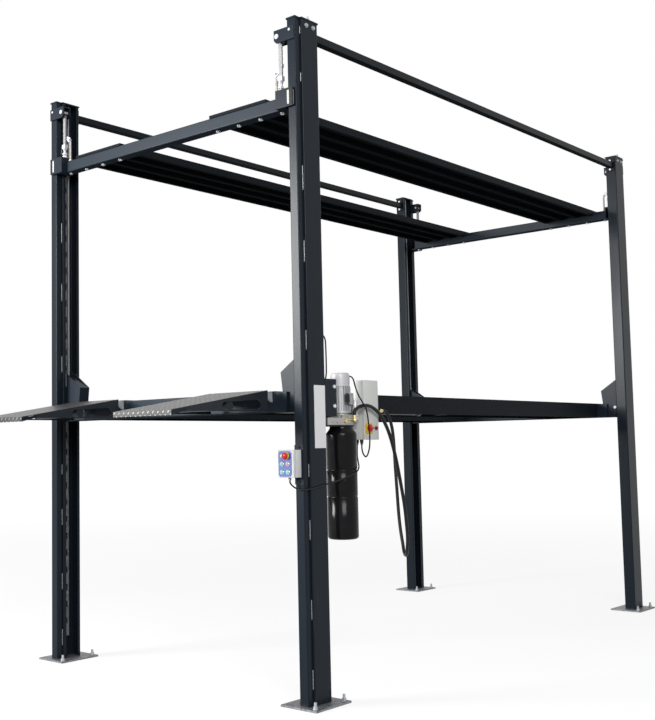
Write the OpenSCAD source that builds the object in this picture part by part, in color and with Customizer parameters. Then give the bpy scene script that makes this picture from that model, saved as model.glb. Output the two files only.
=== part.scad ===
// Triple stacker parking lift: four posts carry a lower platform inside their channels
// and an upper platform on rails along their end faces. Millimetres, +Z up, entry at -Y,
// power unit at +X. The origin is on the floor, under the middle of the overall box.

/* [Posts] */
// Overall width over the post channels
frame_w = 2357; // [2200:1:2600]
// Overall length over the post channels
frame_l = 4536; // [4300:1:5200]
// Height of the lift over the post caps
lift_h = 4000; // [3900:1:4400]
// Width of a post channel, across the lift
post_w = 92; // [88:1:110]
// Depth of a post channel, along the lift
post_d = 150; // [146:1:170]
// Sheet thickness of a post channel
post_t = 5; // [4:0.5:7]
// Length of the return lips at the open side of the channel
post_lip = 25; // [20:1:28]
// Outer fold radius of the channel and of the rails
fold_r = 7; // [6.5:0.5:9]
// Width of the guide rail on the end face of a post
rail_w = 64; // [56:1:68]
// Depth of the guide rail
rail_d = 45; // [40:1:50]
// Wall of the guide rail
rail_t = 4; // [3:0.5:5]
// Thickness of a post cap
cap_t = 10; // [6:1:14]
// Overhang of a post cap past the profiles
cap_over = 3; // [1:0.5:5]

/* [Base plates] */
// Width of a base plate, across the lift
base_w = 260; // [250:1:280]
// Length of a base plate, along the lift
base_l = 320; // [310:1:340]
// Thickness of a base plate
base_t = 12; // [10:1:20]
// Overhang of a base plate past the outer face of the post
base_out = 75; // [68:1:82]
// Overhang of a base plate past the end face of the channel
base_end = 86; // [80:1:92]
// Distance of the anchor holes from the plate edges
anchor_inset = 30; // [26:1:34]
// Diameter of the anchor holes
anchor_hole = 20; // [18:0.5:22]
// Diameter of the anchor studs
anchor_d = 16; // [12:0.5:17]
// Height of the anchor studs over the plate
anchor_h = 38; // [34:1:60]

/* [Tie bars] */
// Height and width of the square tie bars
tie_s = 50; // [40:1:60]
// Wall of the tie bars
tie_t = 4; // [3:0.5:5]
// Height of the middle of the tie bars
tie_z = 3918; // [3880:1:3930]
// Thickness of the flanges at their ends
tie_flange_t = 8; // [6:1:12]
// Height of those flanges
tie_flange_h = 110; // [100:1:120]

/* [Upper platform] */
// Height of the underside of the upper crossbeams, parked
upper_z = 3460; // [3400:1:3480]
// Height of an upper crossbeam
ubeam_h = 80; // [70:1:90]
// Depth of an upper crossbeam, along the lift
ubeam_d = 80; // [70:1:90]
// Wall of an upper crossbeam
ubeam_t = 5; // [4:0.5:6]
// Overhang of the upper crossbeams past the end faces of the posts
ubeam_out = 24; // [18:1:28]
// Gap between the end of an upper crossbeam and the post
ubeam_gap = 68; // [64:1:80]
// Height of the upper deck over the crossbeams
udeck_rise = 18; // [14:1:24]
// Height of the side flanges of the upper runways
udeck_side = 50; // [40:1:60]
// Sheet thickness of the upper decks
udeck_t = 4; // [3:0.5:5]
// Height of a guide shoe on the rail
shoe_h = 112; // [104:1:130]
// Plate thickness of a guide shoe
shoe_t = 10; // [8:1:12]
// Thickness of the nylon pad between shoe and rail
pad_t = 9; // [7:0.5:12]
// Running gap between a nylon pad and the steel that it slides on
pad_gap = 0.5; // [0.4:0.1:1]

/* [Runways] */
// Distance from the middle of the lift to the inner edge of a runway
runway_in = 430; // [400:1:450]
// Width of a runway
runway_w = 475; // [440:1:480]

/* [Lower platform] */
// Height of the underside of the lower crossbeams, parked
lower_z = 1670; // [1650:1:1700]
// Height of a lower crossbeam
lbeam_h = 120; // [110:1:130]
// Depth of a lower crossbeam, along the lift
lbeam_d = 120; // [110:1:130]
// Wall of a lower crossbeam
lbeam_t = 6; // [5:0.5:8]
// Distance between the end of a lower crossbeam and the post
lbeam_gap = 100; // [96:1:106]
// Sheet thickness of the lower decks
ldeck_t = 5; // [4:0.5:6]
// Inward return lip at the foot of the runway sides
deck_lip = 30; // [24:1:40]
// Outer width of a carriage over its two plates
carriage_w = 84; // [78:1:88]
// Plate thickness of a carriage
carriage_t = 8; // [6:1:9]

/* [Ramps] */
// Distance from the middle of the lift to the tip of the ramps
ramp_reach = 3098; // [3000:1:3200]
// Distance from the crossbeam face to the rear edge of a ramp
ramp_gap = 64; // [58:1:70]
// Thickness of the ramp plate
ramp_t = 5; // [4:0.5:6]
// Thickness of the side plates
ramp_side_t = 6; // [5:0.5:8]
// Height of the folded lip at the tip
ramp_lip = 30; // [24:1:36]
// Fall of the ramp from its rear edge to the top of the lip
ramp_fall = 122; // [110:1:126]
// Diameter of the hinge pins
ramp_pin_d = 14; // [12:1:16]
// Diameter of the roller between the side plates
ramp_roller_d = 56; // [48:1:60]

/* [Power unit] */
// Distance of the pump axis from the middle of the lift, across
pump_x = 1115; // [1110:1:1120]
// Distance of the pump axis from the rear face of its post
pump_y = 225; // [215:1:235]
// Height of the underside of the valve block
pump_z = 1590; // [1560:1:1600]
// Diameter of the oil tank
tank_d = 186; // [170:1:190]
// Height of the oil tank with its shoulder
tank_h = 672; // [600:1:700]
// Width of the valve block
block_w = 110; // [100:1:114]
// Height of the valve block
block_h = 60; // [50:1:70]
// Diameter of the motor over its fins
motor_d = 128; // [120:1:136]
// Height of the finned motor body
motor_h = 160; // [150:1:170]
// Diameter of the fan cowl
cowl_d = 118; // [112:1:124]
// Height of the fan cowl
cowl_h = 82; // [70:1:90]

/* [Cabinet] */
// Width of the switch cabinet, along the lift
cabinet_w = 145; // [140:1:160]
// Height of the switch cabinet
cabinet_h = 362; // [350:1:380]
// Depth of the switch cabinet with its cover
cabinet_d = 150; // [140:1:160]
// Height of the underside of the cabinet
cabinet_z = 1500; // [1490:1:1510]
// Distance of the cabinet face from the middle of the lift
cabinet_x = 1195; // [1192:1:1200]
// Sheet thickness of the cabinet and its cover
cabinet_t = 2; // [1.5:0.5:3]
// Depth of the cabinet cover
cover_t = 18; // [16:1:20]

/* [Button box] */
// Width of the push-button box
button_box_w = 118; // [112:1:122]
// Height of the push-button box
button_box_h = 158; // [154:1:164]
// Depth of the push-button box
button_box_d = 70; // [66:1:76]
// Height of the underside of the push-button box
button_box_z = 1290; // [1280:1:1300]

/* [Hidden] */
$fn = 32;

eps = 0.01;
steel = [0.20, 0.23, 0.27];
dark_steel = [0.12, 0.13, 0.15];
zinc = [0.72, 0.73, 0.74];
galvanised = [0.60, 0.61, 0.61];
nylon = [0.86, 0.85, 0.80];
box_grey = [0.74, 0.75, 0.74];

half_w = frame_w / 2;
half_l = frame_l / 2;
post_in = half_w - post_w;
post_mid_x = half_w - post_w / 2;
post_mid_y = half_l - post_d / 2;
post_rear = half_l - post_d;
post_top = lift_h - cap_t;
rail_face = half_l + rail_d;
rail_in = post_mid_x - rail_w / 2;
rail_out = post_mid_x + rail_w / 2;
base_y_end = half_l + base_end;
base_x_out = half_w + base_out;

// The overall box runs from the ramp tips to the rear base plates
mid_y = (base_y_end - ramp_reach) / 2;

// Draws its children, made for the rear right corner, at the corner with these signs
module corner(sx, sy) {
    translate([0, -mid_y, 0])
        mirror([sx < 0 ? 1 : 0, 0, 0])
            mirror([0, sy < 0 ? 1 : 0, 0])
                children();
}

module four_corners() {
    for (sx = [-1, 1])
        for (sy = [-1, 1])
            corner(sx, sy) children();
}

// Rectangle with true round corners, from its low corner
module round_rect(w, h, r) {
    translate([r, 0]) square([w - 2 * r, h]);
    translate([0, r]) square([w, h - 2 * r]);
    for (x = [r, w - r])
        for (y = [r, h - r])
            translate([x, y]) circle(r);
}

// Outline of a folded tube
module tube_outline(w, h, t, r) {
    difference() {
        round_rect(w, h, r);
        translate([t, t]) round_rect(w - 2 * t, h - 2 * t, r - t);
    }
}

// Box between two corners
module span(a, b) {
    translate(a) cube(b - a);
}

// Round bar from a to b along one row axis
module bar_x(x0, x1, y, z, d) {
    translate([x0, y, z]) rotate([0, 90, 0]) cylinder(h = x1 - x0, d = d);
}

module bar_y(x, y0, y1, z, d) {
    translate([x, y0, z]) rotate([-90, 0, 0]) cylinder(h = y1 - y0, d = d);
}

// Hexagon head or nut, standing on z = 0
module hexagon(across, h) {
    cylinder(h = h, d = across / cos(30), $fn = 6);
}

/* Posts */

// Folded channel, open towards the middle of the lift, with the guide rail on its end face
module post_outline() {
    translate([post_in, post_rear]) difference() {
        tube_outline(post_w, post_d, post_t, fold_r);
        translate([-eps, post_lip]) square([post_t + 2 * eps, post_d - 2 * post_lip]);
    }
    translate([rail_in, half_l]) tube_outline(rail_w, rail_d, rail_t, fold_r);
    translate([rail_in, half_l - post_t]) square([rail_w, post_t + rail_t]);
}

module post(sx, sy) {
    color(steel) corner(sx, sy)
        translate([0, 0, base_t]) linear_extrude(post_top - base_t) post_outline();
}

module post_caps() {
    color(steel) four_corners()
        translate([0, 0, post_top]) linear_extrude(cap_t) {
            translate([post_in - cap_over, post_rear - cap_over])
                square([post_w + 2 * cap_over, post_d + 2 * cap_over]);
            translate([rail_in - cap_over, half_l])
                square([rail_w + 2 * cap_over, rail_d + cap_over]);
        }
}

module base_plates() {
    color(galvanised) four_corners() difference() {
        span([base_x_out - base_w, base_y_end - base_l, 0], [base_x_out, base_y_end, base_t]);
        anchor_places() cylinder(h = 3 * base_t, d = anchor_hole, center = true);
    }
}

module anchor_places() {
    for (x = [base_x_out - anchor_inset, base_x_out - base_w + anchor_inset])
        for (y = [base_y_end - anchor_inset, base_y_end - base_l + anchor_inset])
            translate([x, y, 0]) children();
}

// Two anchors in each plate, at the holes on its right-hand side
module anchor_studs() {
    color(zinc)
        for (sx = [-1, 1])
            for (sy = [-1, 1])
                corner(sx, sy) anchor_pair(sx > 0 ? anchor_inset : base_w - anchor_inset);
}

module anchor_pair(from_out) {
    for (y = [base_y_end - anchor_inset, base_y_end - base_l + anchor_inset])
        translate([base_x_out - from_out, y, 0]) {
            cylinder(h = base_t + anchor_h, d = anchor_d);
            translate([0, 0, base_t]) cylinder(h = 3, d = 30);
            translate([0, 0, base_t + 3]) hexagon(24, 13);
        }
}

/* Tie bars along both sides */

tie_end = post_rear;

module tie_bars() {
    color(steel) for (sx = [-1, 1]) corner(sx, 1) {
        translate([post_mid_x - tie_s / 2, tie_flange_t - tie_end, tie_z - tie_s / 2])
            rotate([-90, 0, 0]) mirror([0, 1, 0])
                linear_extrude(2 * (tie_end - tie_flange_t)) tube_outline(tie_s, tie_s, tie_t, fold_r);
        for (s = [-1, 1]) mirror([0, s < 0 ? 1 : 0, 0])
            span([post_mid_x - 35, tie_end - tie_flange_t, tie_z - tie_flange_h / 2],
                 [post_mid_x + 35, tie_end, tie_z + tie_flange_h / 2]);
    }
}

tie_bolt_rise = 40;

module tie_bolts() {
    color(zinc) four_corners() {
        for (dz = [-tie_bolt_rise, tie_bolt_rise])
            translate([post_mid_x, tie_end - tie_flange_t, tie_z + dz]) rotate([90, 0, 0]) hexagon(19, 9);
        for (dy = [-32, 32])
            translate([half_w, post_mid_y + dy, tie_z + tie_bolt_rise]) rotate([0, 90, 0]) {
                cylinder(h = 3, d = 28);
                cylinder(h = 10, d = 19);
            }
    }
}

/* Safety ladders in the channels */

ladder_w = 56;
ladder_t = 10;
ladder_x = half_w - post_t - 6 - ladder_t;
ladder_low = 150;
ladder_pitch = 120;
ladder_slot = 44;
ladder_rod_d = 20;
ladder_rod_low = post_top - 60;

module ladder_bars() {
    color(galvanised) four_corners() {
        difference() {
            span([ladder_x, post_mid_y - ladder_w / 2, ladder_low],
                 [ladder_x + ladder_t, post_mid_y + ladder_w / 2, ladder_rod_low + 20]);
            for (z = [ladder_low + 80 : ladder_pitch : ladder_rod_low - 80])
                span([ladder_x - 1, post_mid_y - ladder_w / 2 + 12, z],
                     [ladder_x + ladder_t + 1, post_mid_y + ladder_w / 2 - 12, z + ladder_slot]);
        }
        span([ladder_x, post_mid_y - 11, ladder_rod_low],
             [ladder_x + ladder_t, post_mid_y + 11, post_top]);
    }
}

module ladder_nuts() {
    color(zinc) four_corners()
        translate([ladder_x + ladder_t / 2, post_mid_y, lift_h]) {
            hexagon(24, 12);
            cylinder(h = 26, d = 16);
        }
}

/* Hanger brackets at the post tops: front and rear cheek, web between, hanging pin */

bracket_x = 1008;
bracket_low = lift_h - 138;
bracket_top = lift_h - 58;
bracket_t = 10;
bracket_bevel = 18;
bracket_out = rail_out - 4;
pin_x = bracket_x + 24;
pin_z = (bracket_low + bracket_top) / 2;
hang_d = 20;
hang_x = pin_x;
hang_y = half_l + rail_d / 2;

module bracket_cheek(x_out) {
    polygon([
        [bracket_x, bracket_top], [x_out, bracket_top], [x_out, bracket_low],
        [bracket_x + bracket_bevel, bracket_low], [bracket_x, bracket_low + bracket_bevel]
    ]);
}

module xz_plate(y, t) {
    translate([0, y + t, 0]) rotate([90, 0, 0]) linear_extrude(t) children();
}

module hanger_brackets() {
    color(steel) four_corners() difference() {
        union() {
            xz_plate(rail_face, bracket_t) bracket_cheek(bracket_out);
            xz_plate(half_l - bracket_t, bracket_t) bracket_cheek(post_in);
            span([bracket_x, half_l - bracket_t, bracket_top - bracket_t], [post_in, half_l, bracket_top]);
            span([bracket_x, half_l, bracket_top - bracket_t], [rail_in, rail_face + bracket_t, bracket_top]);
        }
        bar_y(pin_x, half_l - 2 * bracket_t, rail_face + 2 * bracket_t, pin_z, hang_d);
    }
}

module hanger_pins() {
    color(zinc) four_corners() {
        bar_y(pin_x, half_l - bracket_t - 8, rail_face + bracket_t + 8, pin_z, hang_d - 0.1);
        bar_y(pin_x, rail_face + bracket_t, rail_face + bracket_t + 6, pin_z, 30);
        bar_y(bracket_out - 30, rail_face + bracket_t, rail_face + bracket_t + 6, pin_z + 18, 16);
    }
}

/* Upper platform */

ubeam_y1 = half_l + ubeam_out;
ubeam_y0 = ubeam_y1 - ubeam_d;
ubeam_x = post_in - ubeam_gap;
ubeam_top = upper_z + ubeam_h;
udeck_top = ubeam_top + udeck_rise;
runway_out = runway_in + runway_w;
hat_w = 40;
hat_t = 3;

module upper_beam(sy) {
    color(steel) corner(1, sy) {
        translate([-ubeam_x, ubeam_y0, upper_z]) rotate([90, 0, 90])
            linear_extrude(2 * ubeam_x) tube_outline(ubeam_d, ubeam_h, ubeam_t, fold_r);
        for (x = [470, 650, 830, ubeam_x - 13])
            for (sx = [-1, 1])
                translate([sx * x, (ubeam_y0 + ubeam_y1) / 2, upper_z - 10]) hexagon(24, 10 + eps);
    }
}

// Deck sheet with folded sides, inward lips and end lips on the crossbeams
module upper_runway(sx) {
    side_low = udeck_top - udeck_side;
    color(dark_steel) corner(sx, 1) {
        span([runway_in, -ubeam_y1, udeck_top - udeck_t], [runway_out, ubeam_y1, udeck_top]);
        for (s = [-1, 1]) mirror([0, s < 0 ? 1 : 0, 0]) {
            span([runway_in, ubeam_y1 - udeck_t, ubeam_top], [runway_out, ubeam_y1, udeck_top]);
            for (x = [runway_in, runway_out - udeck_t])
                span([x, 0, ubeam_top], [x + udeck_t, ubeam_y1, udeck_top]);
        }
        for (x = [runway_in, runway_out - udeck_t])
            span([x, -ubeam_y0 + 1, side_low], [x + udeck_t, ubeam_y0 - 1, udeck_top]);
        for (x = [runway_in, runway_out - deck_lip])
            span([x, -ubeam_y0 + 1, side_low], [x + deck_lip, ubeam_y0 - 1, side_low + udeck_t]);
        for (x = [runway_in + 140, runway_out - 140 - hat_w])
            translate([x, ubeam_y0 - 1, side_low + udeck_t]) rotate([90, 0, 0])
                linear_extrude(2 * (ubeam_y0 - 1)) difference() {
                    square([hat_w, udeck_side - 2 * udeck_t + eps]);
                    translate([hat_t, hat_t]) square([hat_w - 2 * hat_t, udeck_side]);
                }
    }
}

shoe_z0 = upper_z - 2;
shoe_out = rail_out - 16;
shoe_face = rail_face + pad_t;
shoe_in = post_in - 7;

module upper_shoes() {
    color(steel) four_corners() difference() {
        union() {
            span([ubeam_x, ubeam_y0, shoe_z0], [ubeam_x + shoe_t, shoe_face + shoe_t, shoe_z0 + shoe_h]);
            span([ubeam_x, shoe_face, shoe_z0], [shoe_out, shoe_face + shoe_t, shoe_z0 + shoe_h]);
            for (z = [shoe_z0, shoe_z0 + shoe_h - shoe_t])
                span([ubeam_x, ubeam_y0, z], [shoe_in, shoe_face + shoe_t, z + shoe_t]);
            span([shoe_in - shoe_t, ubeam_y0, shoe_z0], [shoe_in, rail_face, shoe_z0 + shoe_h]);
        }
        span([rail_in + 8, shoe_face - 1, shoe_z0 + 14],
             [rail_in + 24, shoe_face + shoe_t + 1, shoe_z0 + shoe_h - 14]);
    }
}

// Nylon pads that wrap the inner front corner of the rail, showing through the shoe's slot
module upper_pads() {
    color(nylon) four_corners() {
        span([shoe_in, rail_face + pad_gap, shoe_z0 + 12],
             [shoe_out - 4, shoe_face, shoe_z0 + shoe_h - 12]);
        span([rail_in + 8.5, shoe_face - eps, shoe_z0 + 14.5],
             [rail_in + 23.5, shoe_face + shoe_t - 0.5, shoe_z0 + shoe_h - 14.5]);
        span([shoe_in, half_l + 6, shoe_z0 + 12],
             [rail_in - pad_gap, rail_face + pad_gap + eps, shoe_z0 + shoe_h - 12]);
    }
}

anchor_z = shoe_z0 + shoe_h;
clevis_low = anchor_z + 52;
clevis_h = 44;
chain_w = 26;
chain_t = 10;
chain_low = clevis_low + clevis_h;
chain_high = pin_z - hang_d / 2 - 3;

// Threaded stud with nuts on the shoe, and the clevis that holds the chain
module chain_anchors() {
    color(zinc) four_corners() translate([hang_x, hang_y, 0]) {
        translate([0, 0, anchor_z]) hexagon(30, 14);
        translate([0, 0, anchor_z]) cylinder(h = 54, d = 18);
        translate([0, 0, anchor_z + 22]) hexagon(30, 12);
        translate([0, 0, clevis_low]) cylinder(h = 16, d1 = 22, d2 = 34);
        translate([-17, -13, clevis_low + 16]) cube([34, 26, clevis_h - 16]);
    }
}

// Slack-chain lever with its rod and spring, beside the chain anchor
module latch_levers() {
    lever_z = chain_low + 30;
    rod_x = hang_x - 46;
    rod_y = hang_y - 14;
    color(zinc) four_corners() {
        translate([rod_x, rod_y, ubeam_top]) {
            cylinder(h = lever_z - ubeam_top, d = 12);
            hexagon(19, 9);
        }
        xz_plate(hang_y - chain_t / 2 - 6.5, 6) polygon([
            [rod_x - 10, lever_z - 6], [rod_x + 10, lever_z - 16],
            [hang_x + 14, lever_z + 26], [hang_x + 14, lever_z + 46], [rod_x - 6, lever_z + 14]
        ]);
        bar_y(rod_x, rod_y - 6, hang_y + 6, lever_z, 12);
    }
}

module upper_chains() {
    color(zinc) four_corners()
        span([hang_x - chain_w / 2, hang_y - chain_t / 2, chain_low],
             [hang_x + chain_w / 2, hang_y + chain_t / 2, chain_high]);
}

/* Lower platform */

lbeam_y0 = post_mid_y - lbeam_d / 2;
lbeam_y1 = post_mid_y + lbeam_d / 2;
lbeam_x = post_in - lbeam_gap;
lbeam_top = lower_z + lbeam_h;
ldeck_top = lbeam_top + ldeck_t;
rib_low = ldeck_top - 70;
carriage_low = lower_z;

module lower_beam(sy) {
    color(steel) corner(1, sy) difference() {
        translate([-lbeam_x, lbeam_y0, lower_z]) rotate([90, 0, 90])
            linear_extrude(2 * lbeam_x) tube_outline(lbeam_d, lbeam_h, lbeam_t, fold_r);
        rope_window(sy);
    }
}

// Window that the turning sheaves and the ropes pass through, into the right runway
module rope_window(sy) {
    xs = sy < 0 ? [586, 890] : [440, 655];
    span([xs[0], lbeam_y0 - 8, run_z - 15], [xs[1], lbeam_y0 + lbeam_t + 1, run_z + 15]);
}

carriage_out = post_in + 54;
carriage_plate = [
    [lbeam_x - 36, lbeam_top], [lbeam_x - 50, lbeam_top + 116], [carriage_out, lbeam_top + 255],
    [carriage_out, carriage_low], [lbeam_x, carriage_low], [lbeam_x, lbeam_top]
];
sheave_d = 116;
sheave_x = carriage_out - 20 - sheave_d / 2;
sheave_root = sheave_d / 2 - 10;
rope_d = 12;
rope_r = sheave_root + rope_d / 2;
rope_x = sheave_x + rope_r;
run_z = lower_z + 34;
sheave_z = run_z + rope_r;

// Two plates rising over the end of the beam, a web along their inner and top edges
module lower_carriages() {
    color(steel) four_corners() difference() {
        union() {
            for (y = [post_mid_y - carriage_w / 2, post_mid_y + carriage_w / 2 - carriage_t])
                xz_plate(y, carriage_t) polygon(carriage_plate);
            xz_plate(post_mid_y - carriage_w / 2, carriage_w) polygon([
                carriage_plate[0], carriage_plate[1], [post_in - 10, lbeam_top + 196],
                [post_in - 10, lbeam_top + 186], [lbeam_x - 42, lbeam_top + 110], [lbeam_x - 28, lbeam_top]
            ]);
            span([lbeam_x, lbeam_y0, lower_z], [lbeam_x + carriage_t, lbeam_y1, lbeam_top]);
        }
        bar_y(sheave_x, lbeam_y0, lbeam_y1, sheave_z, 25);
        bar_x(lbeam_x - 1, lbeam_x + carriage_t + 1, post_mid_y, run_z, 28);
    }
}

module rope_sheaves() {
    color(zinc) four_corners() {
        translate([sheave_x, post_mid_y, sheave_z]) rotate([-90, 0, 0]) rotate_extrude($fn = 64)
            polygon([
                [13, -20], [sheave_d / 2, -20], [sheave_d / 2, -13], [sheave_root, -7],
                [sheave_root, 7], [sheave_d / 2, 13], [sheave_d / 2, 20], [13, 20]
            ]);
        bar_y(sheave_x, post_mid_y - carriage_w / 2 - 6, post_mid_y + carriage_w / 2 + 6, sheave_z, 24.9);
    }
    color(zinc) translate([0, -mid_y, 0]) {
        for (p = front_lanes) {
            turning_sheave(p[0] + p[2] * turn_r, turn_r - post_mid_y, lower_z + lbeam_t, lbeam_top - lbeam_t);
            turning_sheave(p[0] - turn_r, return_y, run_z - 14, lbeam_top);
        }
        for (p = rear_lanes)
            turning_sheave(p[0] + p[2] * turn_r, post_mid_y - turn_r, lower_z + lbeam_t, lbeam_top - lbeam_t);
    }
}

// Ropes run inside the crossbeams, turn into the right runway and end at the pull bar.
// A lane is its distance across, the corner sheave it comes from and the side of its turn.
turn_r = 38;
return_y = 1850;
front_lanes = [[800, 1, 1], [676, -1, -1]];
rear_lanes = [[565, 1, 1], [530, -1, -1]];
pull_y = 100;
pull_t = 40;

module turning_sheave(x, y, z0, z1) {
    root = turn_r - rope_d / 2;
    translate([x, y, 0]) {
        translate([0, 0, run_z]) rotate_extrude($fn = 64)
            polygon([[0, -10], [root + 12, -10], [root, -6.5], [root, 6.5], [root + 12, 10], [0, 10]]);
        translate([0, 0, z0]) cylinder(h = z1 - z0, d = 18);
    }
}

// Part of a rope bent round a vertical axis at x, y, from angle a0
module rope_bend(x, y, r, a0, sweep) {
    translate([x, y, run_z]) rotate([0, 0, a0]) rotate_extrude(angle = sweep, $fn = 64)
        translate([r, 0]) circle(d = rope_d, $fn = 32);
}

// Quarter turn under a corner sheave and the run across, inside the crossbeam
module rope_across(p, sy) {
    side = p[1];
    x_turn = p[0] + p[2] * turn_r;
    translate([side * sheave_x, sy * post_mid_y, sheave_z])
        mirror([side < 0 ? 1 : 0, 0, 0]) rotate([90, 0, 0]) rotate([0, 0, 270])
            rotate_extrude(angle = 90, $fn = 64) translate([rope_r, 0]) circle(d = rope_d, $fn = 32);
    bar_x(min(side * sheave_x, x_turn), max(side * sheave_x, x_turn), sy * post_mid_y, run_z, rope_d);
    mirror([0, sy < 0 ? 1 : 0, 0])
        rope_bend(x_turn, post_mid_y - turn_r, turn_r, p[2] > 0 ? 90 : 0, 90);
}

module rope_runs() {
    color(zinc) translate([0, -mid_y, 0]) {
        for (p = front_lanes) {
            rope_across(p, -1);
            bar_y(p[0], turn_r - post_mid_y, return_y, run_z, rope_d);
            rope_bend(p[0] - turn_r, return_y, turn_r, 0, 180);
            bar_y(p[0] - 2 * turn_r, pull_y + pull_t, return_y, run_z, rope_d);
        }
        for (p = rear_lanes) {
            rope_across(p, 1);
            bar_y(p[0], pull_y + pull_t, post_mid_y - turn_r, run_z, rope_d);
        }
    }
}

pad_out = half_w - post_t - pad_gap;
pad_in = post_in + post_t + 2;

// Nylon guide blocks on both sides of the carriage, running in the channel
module lower_pads() {
    color(nylon) four_corners()
        for (z = [carriage_low + 20, lbeam_top + 130])
            for (s = [-1, 1])
                translate([0, post_mid_y, 0]) mirror([0, s < 0 ? 1 : 0, 0])
                    span([pad_in, carriage_w / 2, z],
                         [carriage_out + 8, post_d / 2 - post_t - pad_gap, z + 90]);
}

module lower_ropes() {
    color(zinc) four_corners()
        translate([rope_x, post_mid_y, sheave_z]) cylinder(h = post_top - sheave_z, d = rope_d);
}

// Folded deck with deep sides, inward lips and cross ribs
module lower_runway(sx) {
    rib_t = 5;
    color(steel) corner(sx, 1) {
        span([runway_in, -lbeam_y1, ldeck_top - ldeck_t], [runway_out, lbeam_y1, ldeck_top]);
        for (x = [runway_in, runway_out - ldeck_t])
            span([x, -lbeam_y0 + 1, lower_z + 3], [x + ldeck_t, lbeam_y0 - 1, ldeck_top]);
        for (x = [runway_in, runway_out - deck_lip])
            span([x, -lbeam_y0 + 1, lower_z + 3], [x + deck_lip, lbeam_y0 - 1, lower_z + 3 + ldeck_t]);
        difference() {
            for (y = [-1800 : 600 : 1800])
                span([runway_in, y - rib_t / 2, rib_low], [runway_out, y + rib_t / 2, ldeck_top]);
            if (sx > 0)
                span([cylinder_x - 56, -1900, rib_low - 1], [cylinder_x + 56, 1900, ldeck_top - 2 * ldeck_t]);
        }
        for (s = [-1, 1]) mirror([0, s < 0 ? 1 : 0, 0]) difference() {
            span([runway_in, lbeam_y0 - 1 - rib_t, lower_z + 3], [runway_out, lbeam_y0 - 1, ldeck_top]);
            if (sx > 0) rope_window(s);
        }
    }
}

cylinder_x = runway_in + 90;
cylinder_z = lower_z + 54;
cylinder_d = 84;
cylinder_y0 = 1 + 5 - lbeam_y0;

// Pulling cylinder in saddles under the deck of the right runway, its rod drawn in while
// the platform is up, with the bar across the rod end that pulls all four ropes
module lift_cylinder() {
    color(dark_steel) corner(1, 1) {
        difference() {
            bar_y(cylinder_x, cylinder_y0, -150, cylinder_z, cylinder_d);
            bar_y(cylinder_x, cylinder_y0 + 20, -200, cylinder_z, cylinder_d - 14);
        }
        for (y = [cylinder_y0, -190])
            difference() {
                bar_y(cylinder_x, y, y + 40, cylinder_z, cylinder_d + 10);
                bar_y(cylinder_x, y - 1, y + 41, cylinder_z, cylinder_d - 1);
            }
        bar_y(cylinder_x, -160, pull_y, cylinder_z, 45);
        for (y = [-1700, -500])
            difference() {
                span([cylinder_x - 55, y - 30, cylinder_z], [cylinder_x + 55, y + 30, ldeck_top - ldeck_t]);
                bar_y(cylinder_x, y - 31, y + 31, cylinder_z, cylinder_d - 1);
            }
        span([cylinder_x - 25, pull_y - 4, run_z - 18], [cylinder_x + 25, pull_y + pull_t, cylinder_z + 26]);
        difference() {
            span([cylinder_x - 20, pull_y, run_z - 18], [front_lanes[0][0] - 58, pull_y + pull_t, run_z + 18]);
            bar_y(front_lanes[1][0], pull_y - 1, pull_y + pull_t + 1, run_z, 24);
        }
    }
}

/* Ramps, hinged at the lower front crossbeam */

ramp_rear = lbeam_y1 + ramp_gap;
ramp_top = ldeck_top + 4;
ramp_low = lower_z + 1;
ramp_tip_top = ramp_top - ramp_fall;
ramp_side_end = ramp_reach - 110;
hinge_y = ramp_rear;
hinge_z = ramp_top - 20;
hinge_eye = 11;
lug_t = 16;
hinge_lugs = [runway_in + 20, runway_out - 20 - lug_t];
roller_y = ramp_rear + 320;
roller_z = ramp_low + 34;

function ramp_z(y) = ramp_top - (y - ramp_rear) / (ramp_reach - ramp_rear) * ramp_fall;

// Outline with the tapered round-ended opening; u runs outwards along the ramp
module ramp_side_outline() {
    r0 = 27;
    r1 = 22;
    y0 = ramp_rear + 60 + r0;
    y1 = ramp_rear + 388 - r1;
    z0 = ramp_low + 17 + r0;
    z1 = ramp_low + 8 + r1;
    difference() {
        polygon([
            [ramp_rear, ramp_low], [ramp_rear, ramp_top - 2], [ramp_side_end, ramp_z(ramp_side_end) - 2],
            [ramp_side_end, ramp_low]
        ]);
        translate([y0, z0]) circle(r0);
        translate([y1, z1]) circle(r1);
        polygon([[y0, z0 - r0], [y1, z1 - r1], [y1, z1 + r1], [y0, z0 + r0]]);
    }
}

module yz_plate(x, t) {
    translate([x, 0, 0]) rotate([90, 0, 90]) linear_extrude(t) children();
}

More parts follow.
